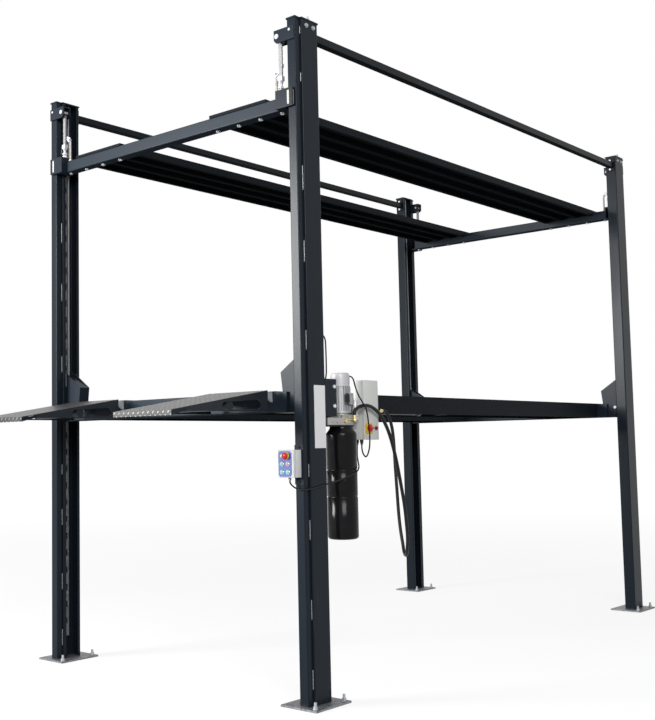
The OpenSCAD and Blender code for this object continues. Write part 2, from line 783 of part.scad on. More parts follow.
module ramp(sx) {
    color(steel) corner(sx, -1) {
        difference() {
            yz_plate(runway_in, runway_w) polygon([
                [ramp_rear, ramp_top - ramp_t], [ramp_rear, ramp_top], [ramp_reach, ramp_tip_top],
                [ramp_reach, ramp_tip_top - ramp_lip], [ramp_reach - ramp_t, ramp_tip_top - ramp_lip],
                [ramp_reach - ramp_t, ramp_tip_top - ramp_t]
            ]);
            for (x = hinge_lugs)
                span([x - 4, ramp_rear - 1, ramp_top - 20], [x + lug_t + 4, ramp_rear + 16, ramp_top + 1]);
        }
        for (x = [runway_in, runway_out - ramp_side_t])
            yz_plate(x, ramp_side_t) ramp_side_outline();
        difference() {
            for (x = [hinge_lugs[0] + lug_t + 4, hinge_lugs[1] - 16])
                yz_plate(x, 12) {
                    polygon([
                        [ramp_rear + 60, ramp_z(ramp_rear + 60) - 2], [ramp_rear, ramp_top - 3],
                        [hinge_y - hinge_eye, hinge_z], [hinge_y, hinge_z - hinge_eye],
                        [ramp_rear + 60, hinge_z - hinge_eye]
                    ]);
                    translate([hinge_y, hinge_z]) circle(hinge_eye);
                }
            bar_x(runway_in, runway_out, hinge_y, hinge_z, ramp_pin_d + 0.2);
        }
        bar_x(runway_in + ramp_side_t - eps, runway_out - ramp_side_t + eps, roller_y, roller_z, ramp_roller_d);
    }
}

// Lugs on the crossbeam and the pins that the ramps turn on
module ramp_hinge_pins() {
    color(zinc) for (sx = [-1, 1]) corner(sx, -1) {
        bar_x(runway_in + 14, runway_out - 14, hinge_y, hinge_z, ramp_pin_d);
        for (x = hinge_lugs)
            yz_plate(x, lug_t) {
                polygon([
                    [lbeam_y1, hinge_z - 50], [lbeam_y1, hinge_z + hinge_eye],
                    [hinge_y, hinge_z + hinge_eye], [hinge_y, hinge_z - hinge_eye]
                ]);
                translate([hinge_y, hinge_z]) circle(hinge_eye);
            }
    }
}

/* Power unit, on the front right post */

pump_at_y = post_rear - pump_y;
block_top = pump_z + block_h;
tank_shoulder = 46;
tank_neck_d = tank_d - 46;
bracket_shelf_t = 8;

// Puts its children, made in corner coordinates, at the front right post
module pump_place() {
    corner(1, -1) translate([pump_x, pump_at_y, 0]) children();
}

module oil_tank() {
    low = pump_z - bracket_shelf_t - tank_h;
    color([0.05, 0.05, 0.055]) pump_place() rotate_extrude($fn = 72) difference() {
        polygon([
            [0, low], [tank_d / 2 - 12, low], [tank_d / 2, low + 12],
            [tank_d / 2, low + tank_h - tank_shoulder], [tank_neck_d / 2, low + tank_h - 10],
            [tank_neck_d / 2, low + tank_h], [0, low + tank_h]
        ]);
        polygon([
            [0, low + 3], [tank_d / 2 - 13, low + 3], [tank_d / 2 - 3, low + 13],
            [tank_d / 2 - 3, low + tank_h - tank_shoulder - 1], [tank_neck_d / 2 - 3, low + tank_h - 12],
            [tank_neck_d / 2 - 3, low + tank_h - 6], [0, low + tank_h - 6]
        ]);
    }
}

module valve_block() {
    color([0.66, 0.65, 0.60]) pump_place() {
        span([-block_w / 2, -block_w / 2, pump_z], [block_w / 2, block_w / 2, block_top]);
        span([-block_w / 2, 0, pump_z], [block_w / 2, pump_y - 30, block_top - 18]);
        translate([0, 0, block_top]) cylinder(h = 12, d = 100);
    }
}

elbow_x = 88;
elbow_y = -20;
elbow_z = pump_z + 58;
hose_end = [926, -1199, 1692];

// Brass elbow on the valve block
module pump_fitting() {
    color("goldenrod") pump_place() {
        bar_x(block_w / 2, elbow_x - 8, elbow_y, pump_z + 30, 20);
        translate([elbow_x, elbow_y, pump_z + 30]) sphere(d = 28);
        translate([elbow_x, elbow_y, pump_z + 30]) cylinder(h = elbow_z - pump_z - 30, d = 24);
        bar_x(block_w / 2, block_w / 2 + 14, 34, pump_z + 22, 22);
    }
}

// Straight fitting on the side of the right runway
module runway_fitting() {
    color("goldenrod") translate([0, -mid_y, 0]) {
        bar_x(runway_out, hose_end[0] + 12, hose_end[1] - 26, hose_end[2], 22);
        translate([hose_end[0], hose_end[1] - 1, hose_end[2]]) rotate([90, 0, 0]) cylinder(h = 32, d = 24);
    }
}

module pump_motor() {
    color([0.62, 0.63, 0.64]) pump_place() translate([0, 0, block_top + 12]) {
        cylinder(h = motor_h, d = motor_d - 24, $fn = 48);
        cylinder(h = 10, d = motor_d, $fn = 48);
        for (a = [0 : 15 : 345]) rotate([0, 0, a])
            span([motor_d / 2 - 16, -1.5, 6], [motor_d / 2, 1.5, motor_h]);
        rotate([0, 0, -20]) span([motor_d / 2 - 16, -26, 50], [motor_d / 2 + 12, 26, 120]);
    }
}

module fan_cowl() {
    color([0.70, 0.71, 0.72]) pump_place() translate([0, 0, block_top + 12 + motor_h])
        rotate_extrude($fn = 72) difference() {
            polygon([
                [0, 0], [cowl_d / 2, 0], [cowl_d / 2, cowl_h - 10], [cowl_d / 2 - 4, cowl_h - 3],
                [cowl_d / 2 - 12, cowl_h], [0, cowl_h]
            ]);
            polygon([[0, -1], [cowl_d / 2 - 2, -1], [cowl_d / 2 - 2, cowl_h - 11], [cowl_d / 2 - 14, cowl_h - 2], [0, cowl_h - 2]]);
        }
}

cap_can_x = 50;
cap_can_y = -78;

module capacitor() {
    color(zinc) pump_place() {
        translate([cap_can_x, cap_can_y, pump_z + 50]) cylinder(h = 102, d = 36);
        span([cap_can_x - 16, cap_can_y - 14, pump_z + 30], [cap_can_x + 16, -block_w / 2, pump_z + 50]);
    }
}

cabinet_y1 = pump_at_y - 132;
cabinet_y0 = cabinet_y1 - cabinet_w;
cabinet_x0 = cabinet_x - cabinet_d;

// Folded bracket: outer cheek, shelf under the valve block, inner arm to the cabinet back
module pump_bracket() {
    color(steel) corner(1, -1) difference() {
        union() {
            span([half_w - 8, post_rear - 105, pump_z + 50], [half_w, post_rear, pump_z + 270]);
            span([post_in, post_rear - 8, pump_z - bracket_shelf_t], [half_w, post_rear, pump_z + 270]);
            span([cabinet_x0 - 10, post_rear - 8, pump_z - bracket_shelf_t], [post_in + eps, post_rear, pump_z + 160]);
            span([cabinet_x0 - 10, pump_at_y - block_w / 2, pump_z - bracket_shelf_t],
                 [pump_x + block_w / 2, post_rear, pump_z]);
            span([cabinet_x0 - 10, cabinet_y0 + 20, pump_z - bracket_shelf_t], [cabinet_x0 - 2, post_rear, pump_z + 160]);
        }
        translate([pump_x, pump_at_y, 0]) cylinder(h = 2 * pump_z, d = 60);
    }
    color(zinc) corner(1, -1) for (z = [pump_z + 110, pump_z + 225])
        translate([half_w, post_rear - 83, z]) rotate([0, 90, 0]) cylinder(h = 7, d = 20);
}

module cabinet() {
    face = cabinet_x - cover_t;
    color(box_grey) corner(1, -1) {
        difference() {
            span([cabinet_x0, cabinet_y0, cabinet_z], [face, cabinet_y1, cabinet_z + cabinet_h]);
            span([cabinet_x0 + cabinet_t, cabinet_y0 + cabinet_t, cabinet_z + cabinet_t],
                 [face + 1, cabinet_y1 - cabinet_t, cabinet_z + cabinet_h - cabinet_t]);
        }
        span([cabinet_x0 - 2, cabinet_y0 + 30, pump_z + 20], [cabinet_x0, cabinet_y1 - 30, pump_z + 140]);
    }
}

// Tray-shaped cover, screwed on from the sides
module cabinet_cover() {
    color(box_grey) corner(1, -1) difference() {
        span([cabinet_x - cover_t, cabinet_y0 - 1, cabinet_z - 1],
             [cabinet_x, cabinet_y1 + 1, cabinet_z + cabinet_h + 1]);
        span([cabinet_x - cover_t - 1, cabinet_y0 + 2, cabinet_z + 2],
             [cabinet_x - cabinet_t, cabinet_y1 - 2, cabinet_z + cabinet_h - 2]);
    }
}

switch_y = cabinet_y1 - 40;
switch_z = cabinet_z + 70;
lamp_y = cabinet_y0 + 30;

module mains_switch() {
    color("red") corner(1, -1) {
        bar_x(cabinet_x + 6.3, cabinet_x + 16, switch_y, switch_z, 46);
        span([cabinet_x + 15, switch_y - 21, switch_z - 6], [cabinet_x + 30, switch_y + 21, switch_z + 6]);
    }
}

module signal_lamp() {
    color("darkred") corner(1, -1) bar_x(cabinet_x, cabinet_x + 12, lamp_y, switch_z, 26);
    color("gold") corner(1, -1) span([cabinet_x, switch_y - 32, switch_z - 32], [cabinet_x + 6, switch_y + 32, switch_z + 32]);
}

gland_xs = [cabinet_x0 + 34, cabinet_x0 + 68, cabinet_x0 + 102];
clip_z = 2120;
clip_x = 1140;
gland_y = cabinet_y1 - 30;
gland_h = 30;

module cable_glands() {
    color(dark_steel) corner(1, -1) for (x = gland_xs)
        translate([x, gland_y, cabinet_z - gland_h]) {
            translate([0, 0, 12]) cylinder(h = gland_h - 12, d = 22);
            cylinder(h = 13, d = 16);
        }
    color(dark_steel) corner(1, -1)
        bar_y(clip_x, post_rear - 20, post_rear, clip_z, 22);
}

/* Push-button box on the front rail */

box_x0 = post_mid_x - 38 - button_box_w / 2;
box_x1 = box_x0 + button_box_w;
box_back = rail_face + 6;
box_front = box_back + button_box_d;
box_top = button_box_z + button_box_h;
panel_t = 1.5;
button_hole = 22;
button_d = 21;
stop_x = box_x0 + 66;
left_x = box_x0 + 33;
right_x = box_x0 + 76;
row_top = box_top - 34;
row_mid = box_top - 80;
row_low = box_top - 126;
button_travel = 4;
button_stem = 14;

module button_holes(d) {
    for (p = [[stop_x, row_top], [left_x, row_mid], [right_x, row_mid], [left_x, row_low], [right_x, row_low]])
        bar_y(p[0], box_front - 24, box_front + 10, p[1], d);
}

module button_box() {
    color(box_grey) corner(1, -1) difference() {
        span([box_x0, box_back, button_box_z], [box_x1, box_front, box_top]);
        button_holes(button_hole);
    }
    color(dark_steel) corner(1, -1)
        translate([post_mid_x - 38, (box_back + box_front) / 2, button_box_z - 16]) cylinder(h = 16, d = 18);
}

module button_panel() {
    color("royalblue") corner(1, -1) difference() {
        xz_plate(box_front, panel_t) polygon([
            [box_x0 + 14, button_box_z + 6], [box_x1 - 26, button_box_z + 6], [box_x1 - 14, button_box_z + 18],
            [box_x1 - 14, box_top - 18], [box_x1 - 26, box_top - 6], [box_x0 + 14, box_top - 6],
            [box_x0 + 6, box_top - 18], [box_x0 + 6, button_box_z + 18]
        ]);
        button_holes(button_hole);
    }
}

module button(x, z, hue) {
    color(hue) corner(1, -1) bar_y(x, box_front - button_stem, box_front + panel_t + 7, z, button_d);
}

module stop_button() {
    color("red") corner(1, -1) {
        bar_y(stop_x, box_front - button_stem, box_front + panel_t + 14, row_top, button_d);
        bar_y(stop_x, box_front + panel_t + 10, box_front + panel_t + 24, row_top, 38);
    }
}

module box_bracket() {
    color(steel) corner(1, -1) {
        span([rail_in, rail_face, button_box_z - 40], [rail_out, rail_face + 3, box_top + 28]);
        span([box_x0 + 20, rail_face + 3 - eps, button_box_z + 10], [rail_out - 4, box_back, box_top - 10]);
    }
    color(zinc) corner(1, -1) for (z = [button_box_z - 25, box_top + 14])
        translate([0, 0, z]) bar_y(post_mid_x, rail_face + 3, rail_face + 9, 0, 14);
}

module blank_plate() {
    color("white") corner(1, -1)
        span([half_w, post_rear + 6, 1455], [half_w + 2, post_rear + 106, 1819]);
}

/* Hoses and cables */

// Point t of the way along the smooth curve between b and c
function blend_point(a, b, c, d, t) =
    0.5 * (2 * b + (c - a) * t + (2 * a - 5 * b + 4 * c - d) * t * t + (3 * b - a - 3 * c + d) * t * t * t);

function smooth_route(p, steps) = [
    for (i = [0 : len(p) - 2])
        for (k = [0 : steps - 1])
            blend_point(p[max(i - 1, 0)], p[i], p[i + 1], p[min(i + 2, len(p) - 1)], k / steps),
    p[len(p) - 1]
];

function directions(p) = [
    for (i = [0 : len(p) - 1])
        let (v = p[min(i + 1, len(p) - 1)] - p[max(i - 1, 0)]) v / norm(v)
];

// Carries the side vector along the route without twist
function carried(dirs, i, side) =
    i == len(dirs) ? [] :
    let (v = side - (side * dirs[i]) * dirs[i], u = v / norm(v))
        concat([u], carried(dirs, i + 1, u));

module swept_tube(p, d, sides, first_side) {
    dirs = directions(p);
    us = carried(dirs, 0, first_side);
    rings = [
        for (i = [0 : len(p) - 1])
            for (k = [0 : sides - 1])
                p[i] + d / 2 * (cos(360 * k / sides) * us[i] + sin(360 * k / sides) * cross(dirs[i], us[i]))
    ];
    last = (len(p) - 1) * sides;
    walls = [
        for (i = [0 : len(p) - 2])
            for (k = [0 : sides - 1])
                [i * sides + k, (i + 1) * sides + k, (i + 1) * sides + (k + 1) % sides, i * sides + (k + 1) % sides]
    ];
    polyhedron(rings, concat(
        [[for (k = [0 : sides - 1]) k]], walls, [[for (k = [sides - 1 : -1 : 0]) last + k]]));
}

hose_d = 22;
hose_route = [
    [1203, -1873, 1648], [1203, -1873, 1656], [1203, -1873, 1664], [1207, -1862, 1682], [1214, -1842, 1695],
    [1223, -1808, 1705], [1229, -1768, 1704],
    [1230, -1725, 1694], [1230, -1665, 1664], [1225, -1600, 1610], [1215, -1527, 1521], [1202, -1457, 1396],
    [1186, -1392, 1256], [1168, -1322, 1083], [1152, -1280, 950], [1140, -1256, 870], [1122, -1236, 805],
    [1096, -1206, 764], [1060, -1166, 750], [1022, -1128, 768], [994, -1100, 820], [972, -1088, 900],
    [955, -1080, 1010], [947, -1080, 1150], [942, -1086, 1320], [938, -1090, 1480], [934, -1098, 1570],
    [930, -1120, 1640], [927, -1154, 1680], [926, -1180, 1691], hose_end
];
motor_cable_d = 9;
motor_cable_route = [
    [1140, -2098, 2120], [1140, -2092, 2120], [1140, -2086, 2120], [1141, -2069, 2110], [1142, -2060, 2084],
    [1142, -2058, 2040], [1142, -2057, 1980], [1138, -2052, 1930], [1124, -2036, 1894], [1094, -2004, 1874],
    [1056, -1958, 1868], [1036, -1904, 1868], [1044, -1852, 1874], [1078, -1818, 1884], [1122, -1808, 1888],
    [1160, -1822, 1870], [1189, -1843, 1828], [1213, -1843, 1768], [1233, -1827, 1722], [1243, -1805, 1677],
    [1246, -1785, 1557], [1241, -1778, 1470], [1222, -1770, 1418], [1192, -1754, 1397], [1162, -1738, 1414],
    [1148, -1731, 1442], [1147, -1731, 1470]
];
control_cable_d = 9;
control_cable_route = [
    [1113, -1731, 1470], [1113, -1733, 1440], [1124, -1748, 1400], [1157, -1785, 1366], [1193, -1828, 1338],
    [1214, -1868, 1318], [1216, -1905, 1302], [1210, -1945, 1287], [1196, -2012, 1268], [1188, -2110, 1250],
    [1187, -2195, 1236], [1187, -2262, 1226], [1180, -2306, 1222], [1158, -2325, 1222], [1130, -2331, 1226],
    [1108, -2342, 1240], [1096, -2352, 1258], [1094, -2354, 1274]
];

module cord(route, d, sides, steps, first_side) {
    color([0.06, 0.06, 0.07]) translate([0, -mid_y, 0])
        swept_tube(smooth_route(route, steps), d, sides, first_side);
}

post(-1, -1);  // post_front_left
post(1, -1);  // post_front_right
post(-1, 1);  // post_rear_left
post(1, 1);  // post_rear_right
post_caps();
base_plates();
anchor_studs();
tie_bars();
tie_bolts();
ladder_bars();
ladder_nuts();
hanger_brackets();
hanger_pins();
upper_beam(-1);  // upper_front_beam
upper_beam(1);  // upper_rear_beam
upper_runway(-1);  // upper_left_runway
upper_runway(1);  // upper_right_runway
upper_shoes();
upper_pads();
chain_anchors();
latch_levers();
upper_chains();
lower_beam(-1);  // lower_front_beam
lower_beam(1);  // lower_rear_beam
lower_runway(-1);  // lower_left_runway
lower_runway(1);  // lower_right_runway
lower_carriages();
lower_pads();
rope_sheaves();
lower_ropes();
rope_runs();
lift_cylinder();
runway_fitting();
ramp(-1);  // ramp_left
ramp(1);  // ramp_right
ramp_hinge_pins();
pump_bracket();
oil_tank();
valve_block();
pump_fitting();
pump_motor();
fan_cowl();
capacitor();
cabinet();
cabinet_cover();
mains_switch();
signal_lamp();
cable_glands();
button_box();
button_panel();
stop_button();
button(left_x, row_mid, "green");  // button_raise
button(right_x, row_mid, "tomato");  // button_lower
button(left_x, row_low, "green");  // button_lock
button(right_x, row_low, "green");  // button_unlock
box_bracket();
blank_plate();
cord(hose_route, hose_d, 10, 2, [1, 0, 0]);  // hydraulic_hose
cord(motor_cable_route, motor_cable_d, 8, 2, [1, 0, 0]);  // motor_cable
cord(control_cable_route, control_cable_d, 8, 2, [0, 1, 0]);  // control_cable
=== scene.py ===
import math

import bmesh
import bpy
from mathutils import Matrix, Vector


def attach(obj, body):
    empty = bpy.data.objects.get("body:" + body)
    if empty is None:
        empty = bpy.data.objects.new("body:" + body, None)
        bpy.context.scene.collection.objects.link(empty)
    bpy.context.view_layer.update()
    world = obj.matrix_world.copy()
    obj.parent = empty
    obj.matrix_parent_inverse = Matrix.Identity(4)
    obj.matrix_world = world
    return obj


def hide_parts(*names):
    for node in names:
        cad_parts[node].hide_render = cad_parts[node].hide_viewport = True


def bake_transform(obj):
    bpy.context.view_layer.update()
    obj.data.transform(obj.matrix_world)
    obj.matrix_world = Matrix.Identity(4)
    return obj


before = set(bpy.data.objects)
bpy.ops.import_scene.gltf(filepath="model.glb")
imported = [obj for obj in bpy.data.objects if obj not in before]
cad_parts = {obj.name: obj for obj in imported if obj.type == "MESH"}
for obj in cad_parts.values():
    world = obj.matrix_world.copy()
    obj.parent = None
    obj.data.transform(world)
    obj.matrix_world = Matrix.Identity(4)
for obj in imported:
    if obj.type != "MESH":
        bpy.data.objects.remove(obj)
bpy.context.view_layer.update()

# Camera
# The photograph's own camera, fitted to the posts and beams: eye height, in front of
# the right-hand side, with the lens axis left of the picture's middle.

camera_yaw = math.radians(41.956)
camera_pitch = math.radians(4.765)
camera_roll = math.radians(-0.968)

ahead = Vector((
    -math.sin(camera_yaw) * math.cos(camera_pitch),
    math.cos(camera_yaw) * math.cos(camera_pitch),
    math.sin(camera_pitch),
))
level_right = Vector((math.cos(camera_yaw), math.sin(camera_yaw), 0))
level_up = level_right.cross(ahead)
picture_right = math.cos(camera_roll) * level_right + math.sin(camera_roll) * level_up
picture_up = -math.sin(camera_roll) * level_right + math.cos(camera_roll) * level_up

camera = bpy.data.objects.new("camera", bpy.data.cameras.new("camera"))
camera.matrix_world = (
    Matrix.Translation((5.102, -6.710, 1.481))
    @ Matrix((picture_right, picture_up, -ahead)).transposed().to_4x4()
)
camera.data.sensor_width = 36
camera.data.lens = 1080.2 * 36 / 720
camera.data.shift_x = (327.5 - 256.1) / 720
camera.data.shift_y = (354.6 - 360.0) / 720
camera.data.clip_start = 0.05
camera.data.clip_end = 200
bpy.context.collection.objects.link(camera)
bpy.context.scene.camera = camera


# Hose and cables
# Black rubber hose from the pump to the platform's cylinder, and two sheathed cables. They
# hang under their own weight, and their routes are the ones of the solids in the CAD.

def smooth_points(corners, steps):
    """Points on the smooth curve through the corners, steps to each stretch."""
    found = []
    for i in range(len(corners) - 1):
        a = Vector(corners[max(i - 1, 0)])
        b = Vector(corners[i])
        c = Vector(corners[i + 1])
        d = Vector(corners[min(i + 2, len(corners) - 1)])
        for k in range(steps):
            t = k / steps
            found.append(0.5 * (
                2 * b + (c - a) * t + (2 * a - 5 * b + 4 * c - d) * t * t
                + (3 * b - a - 3 * c + d) * t * t * t
            ))
    found.append(Vector(corners[-1]))
    return found


def new_material(name):
    """An empty node material with its Principled shader and its output."""
    material = bpy.data.materials.new(name)
    material.use_nodes = True
    tree = material.node_tree
    tree.nodes.clear()
    shader = tree.nodes.new("ShaderNodeBsdfPrincipled")
    output = tree.nodes.new("ShaderNodeOutputMaterial")
    tree.links.new(shader.outputs["BSDF"], output.inputs["Surface"])
    return material, tree, shader


def object_position(tree, scale=(1, 1, 1), turn=(0, 0, 0)):
    """The place on the piece, scaled, for a pattern to follow."""
    place = tree.nodes.new("ShaderNodeTexCoord")
    mapping = tree.nodes.new("ShaderNodeMapping")
    mapping.inputs["Scale"].default_value = scale
    mapping.inputs["Rotation"].default_value = turn
    tree.links.new(place.outputs["Object"], mapping.inputs["Vector"])
    return mapping.outputs["Vector"]


def make_group(name, inputs, outputs):
    """A shader node group with these sockets: (name, type, default) in, (name, type) out."""
    group = bpy.data.node_groups.new(name, "ShaderNodeTree")
    for label, kind, value in inputs:
        socket = group.interface.new_socket(label, in_out="INPUT", socket_type=kind)
        if value is not None:
            socket.default_value = value
    for label, kind in outputs:
        group.interface.new_socket(label, in_out="OUTPUT", socket_type=kind)
    return group, group.nodes.new("NodeGroupInput"), group.nodes.new("NodeGroupOutput")


def maths(tree, operation, a, b=None, clamp=False):
    """One Math node on sockets or plain numbers."""
    node = tree.nodes.new("ShaderNodeMath")
    node.operation = operation
    node.use_clamp = clamp
    for socket, value in zip(node.inputs, (a, b)):
        if value is None:
            continue
        if isinstance(value, (int, float)):
            socket.default_value = value
        else:
            tree.links.new(value, socket)
    return node.outputs[0]


def blend_colours(tree, amount, dark, light):
    """Dark where amount is 0 and light where it is 1."""
    node = tree.nodes.new("ShaderNodeMix")
    node.data_type = "RGBA"
    node.inputs["A"].default_value = (*dark, 1)
    node.inputs["B"].default_value = (*light, 1)
    tree.links.new(amount, node.inputs["Factor"])
    return node.outputs["Result"]


def spread(tree, value, low, high):
    """Value from 0 to 1, spread over low to high."""
    node = tree.nodes.new("ShaderNodeMapRange")
    node.inputs["To Min"].default_value = low
    node.inputs["To Max"].default_value = high
    tree.links.new(value, node.inputs["Value"])
    return node.outputs["Result"]


def raise_surface(tree, shader, height, distance, strength=1.0, under=None):
    """Bump of that height, in metres, on the shader's normal."""
    bump = tree.nodes.new("ShaderNodeBump")
    bump.inputs["Distance"].default_value = distance
    bump.inputs["Strength"].default_value = strength
    tree.links.new(height, bump.inputs["Height"])
    if under is not None:
        tree.links.new(under, bump.inputs["Normal"])
    tree.links.new(bump.outputs["Normal"], shader.inputs["Normal"])
    return bump.outputs["Normal"]


# Slow cloudiness and fine grain, which nearly every finish here has some of
mottle_group, g_in, g_out = make_group(
    "mottle",
    [("Position", "NodeSocketVector", None), ("Cloud Size", "NodeSocketFloat", 3.0), ("Grain Size", "NodeSocketFloat", 180.0)],
    [("Cloud", "NodeSocketFloat"), ("Grain", "NodeSocketFloat")],
)
cloud = mottle_group.nodes.new("ShaderNodeTexNoise")
cloud.inputs["Detail"].default_value = 5
cloud.inputs["Roughness"].default_value = 0.62
grain = mottle_group.nodes.new("ShaderNodeTexNoise")
grain.inputs["Detail"].default_value = 2
for texture, size, label in ((cloud, "Cloud Size", "Cloud"), (grain, "Grain Size", "Grain")):
    mottle_group.links.new(g_in.outputs["Position"], texture.inputs["Vector"])
    mottle_group.links.new(g_in.outputs[size], texture.inputs["Scale"])
    mottle_group.links.new(texture.outputs["Fac"], g_out.inputs[label])


def mottle(tree, position, cloud_size, grain_size):
    node = tree.nodes.new("ShaderNodeGroup")
    node.node_tree = mottle_group
    node.inputs["Cloud Size"].default_value = cloud_size
    node.inputs["Grain Size"].default_value = grain_size
    tree.links.new(position, node.inputs["Position"])
    return node.outputs["Cloud"], node.outputs["Grain"]


rubber, tree, shader = new_material("black rubber sheath")
cloud_mask, grain_mask = mottle(tree, object_position(tree), 14, 420)
tree.links.new(blend_colours(tree, cloud_mask, (0.004, 0.004, 0.005), (0.012, 0.012, 0.013)), shader.inputs["Base Color"])
shader.inputs["Specular IOR Level"].default_value = 0.2
tree.links.new(spread(tree, cloud_mask, 0.38, 0.60), shader.inputs["Roughness"])
raise_surface(tree, shader, grain_mask, 0.0004, 0.5)


def make_cord(name, node, corners, diameter):
    """A round cord as a curve through the route's corners, standing for its CAD solid."""
    points = smooth_points(corners, 4)
    curve = bpy.data.curves.new(name, "CURVE")
    curve.dimensions = "3D"
    curve.bevel_depth = diameter / 2
    curve.bevel_resolution = 5
    curve.use_fill_caps = True
    line = curve.splines.new("POLY")
    line.points.add(len(points) - 1)
    for spot, place in zip(line.points, points):
        spot.co = (*place, 1)
    cord = bpy.data.objects.new(name, curve)
    bpy.context.collection.objects.link(cord)
    curve.materials.append(rubber)
    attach(cord, "frame")
    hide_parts(node)
    return cord


hose = make_cord("hydraulic_hose_sheath", "hydraulic_hose", [
    (1.203, -1.501, 1.648), (1.203, -1.501, 1.656), (1.203, -1.501, 1.664), (1.207, -1.490, 1.682),
    (1.214, -1.470, 1.695), (1.223, -1.436, 1.705), (1.229, -1.396, 1.704), (1.230, -1.353, 1.694), (1.230, -1.293, 1.664), (1.225, -1.228, 1.610),
    (1.215, -1.155, 1.521), (1.202, -1.085, 1.396), (1.186, -1.020, 1.256), (1.168, -0.950, 1.083),
    (1.152, -0.908, 0.950), (1.140, -0.884, 0.870), (1.122, -0.864, 0.805), (1.096, -0.834, 0.764),
    (1.060, -0.794, 0.750), (1.022, -0.756, 0.768), (0.994, -0.728, 0.820), (0.972, -0.716, 0.900),
    (0.955, -0.708, 1.010), (0.947, -0.708, 1.150), (0.942, -0.714, 1.320), (0.938, -0.718, 1.480),
    (0.934, -0.726, 1.570), (0.930, -0.748, 1.640), (0.927, -0.782, 1.680), (0.926, -0.808, 1.691),
    (0.926, -0.827, 1.692),
], 0.022)
motor_lead = make_cord("motor_cable_sheath", "motor_cable", [
    (1.140, -1.726, 2.120), (1.140, -1.720, 2.120), (1.140, -1.714, 2.120), (1.141, -1.697, 2.110),
    (1.142, -1.688, 2.084), (1.142, -1.686, 2.040), (1.142, -1.685, 1.980), (1.138, -1.680, 1.930),
    (1.124, -1.664, 1.894), (1.094, -1.632, 1.874), (1.056, -1.586, 1.868), (1.036, -1.532, 1.868),
    (1.044, -1.480, 1.874), (1.078, -1.446, 1.884), (1.122, -1.436, 1.888), (1.160, -1.450, 1.870),
    (1.189, -1.471, 1.828), (1.213, -1.471, 1.768), (1.233, -1.455, 1.722), (1.243, -1.433, 1.677),
    (1.246, -1.413, 1.557), (1.241, -1.406, 1.470), (1.222, -1.398, 1.418), (1.192, -1.382, 1.397),
    (1.162, -1.366, 1.414), (1.148, -1.359, 1.442), (1.147, -1.359, 1.470),
], 0.009)
control_lead = make_cord("control_cable_sheath", "control_cable", [
    (1.113, -1.359, 1.470), (1.113, -1.361, 1.440), (1.124, -1.376, 1.400), (1.157, -1.413, 1.366),
    (1.193, -1.456, 1.338), (1.214, -1.496, 1.318), (1.216, -1.533, 1.302), (1.210, -1.573, 1.287),
    (1.196, -1.640, 1.268), (1.188, -1.738, 1.250), (1.187, -1.823, 1.236), (1.187, -1.890, 1.226),
    (1.180, -1.934, 1.222), (1.158, -1.953, 1.222), (1.130, -1.959, 1.226), (1.108, -1.970, 1.240),
    (1.096, -1.980, 1.258), (1.094, -1.982, 1.274),
], 0.009)


# Floor and light
# A plain pale studio: a white floor that keeps the shadow, an even sky, and two broad soft
# lamps, one low at the front left and one high behind the camera's right shoulder.

floor = bpy.data.objects.new("studio_floor", bpy.data.meshes.new("studio_floor"))
bm = bmesh.new()
bmesh.ops.create_grid(bm, x_segments=1, y_segments=1, size=60)
bm.to_mesh(floor.data)
bm.free()
floor.location = (0, 0, -0.001)
bpy.context.collection.objects.link(floor)


def background_seen(tree):
    """1 for the rays that look at the background: the camera's, mirrored and refracted ones."""
    path = tree.nodes.new("ShaderNodeLightPath")
    mirrored = maths(tree, "MAXIMUM", path.outputs["Is Camera Ray"], path.outputs["Is Glossy Ray"])
    return maths(tree, "MAXIMUM", mirrored, path.outputs["Is Transmission Ray"])


floor_white = bpy.data.materials.new("studio floor")
floor_white.use_nodes = True
tree = floor_white.node_tree
tree.nodes.clear()
floor_paint = tree.nodes.new("ShaderNodeBsdfDiffuse")
floor_paint.inputs["Color"].default_value = (0.17, 0.17, 0.175, 1)
floor_glow = tree.nodes.new("ShaderNodeEmission")
floor_sum = tree.nodes.new("ShaderNodeAddShader")
floor_out = tree.nodes.new("ShaderNodeOutputMaterial")
reach = tree.nodes.new("ShaderNodeVectorMath")
reach.operation = "LENGTH"
tree.links.new(object_position(tree), reach.inputs[0])
farther = maths(tree, "DIVIDE", maths(tree, "SUBTRACT", reach.outputs["Value"], 4.0), 14.0, clamp=True)
floor_level = maths(tree, "MULTIPLY", background_seen(tree), spread(tree, farther, 0.84, 0.97))
tree.links.new(floor_level, floor_glow.inputs["Strength"])
tree.links.new(floor_paint.outputs["BSDF"], floor_sum.inputs[0])
tree.links.new(floor_glow.outputs["Emission"], floor_sum.inputs[1])
tree.links.new(floor_sum.outputs["Shader"], floor_out.inputs["Surface"])
floor.data.materials.append(floor_white)

sky = bpy.data.worlds.new("studio sky")
sky.use_nodes = True
tree = sky.node_tree
tree.nodes.clear()
sky_glow = tree.nodes.new("ShaderNodeBackground")
sky_out = tree.nodes.new("ShaderNodeOutputWorld")
tree.links.new(spread(tree, background_seen(tree), 0.30, 1.0), sky_glow.inputs["Strength"])
sky_glow.inputs["Color"].default_value = (1, 1, 1, 1)
tree.links.new(sky_glow.outputs["Background"], sky_out.inputs["Surface"])
bpy.context.scene.world = sky


def soft_lamp(name, place, aim, size, power):
    lamp = bpy.data.objects.new(name, bpy.data.lights.new(name, "AREA"))
    lamp.data.shape = "RECTANGLE"
    lamp.data.size = size[0]
    lamp.data.size_y = size[1]
    lamp.data.energy = power
    lamp.location = place
    lamp.rotation_euler = (Vector(aim) - Vector(place)).to_track_quat("-Z", "Y").to_euler()
    bpy.context.collection.objects.link(lamp)
    return lamp


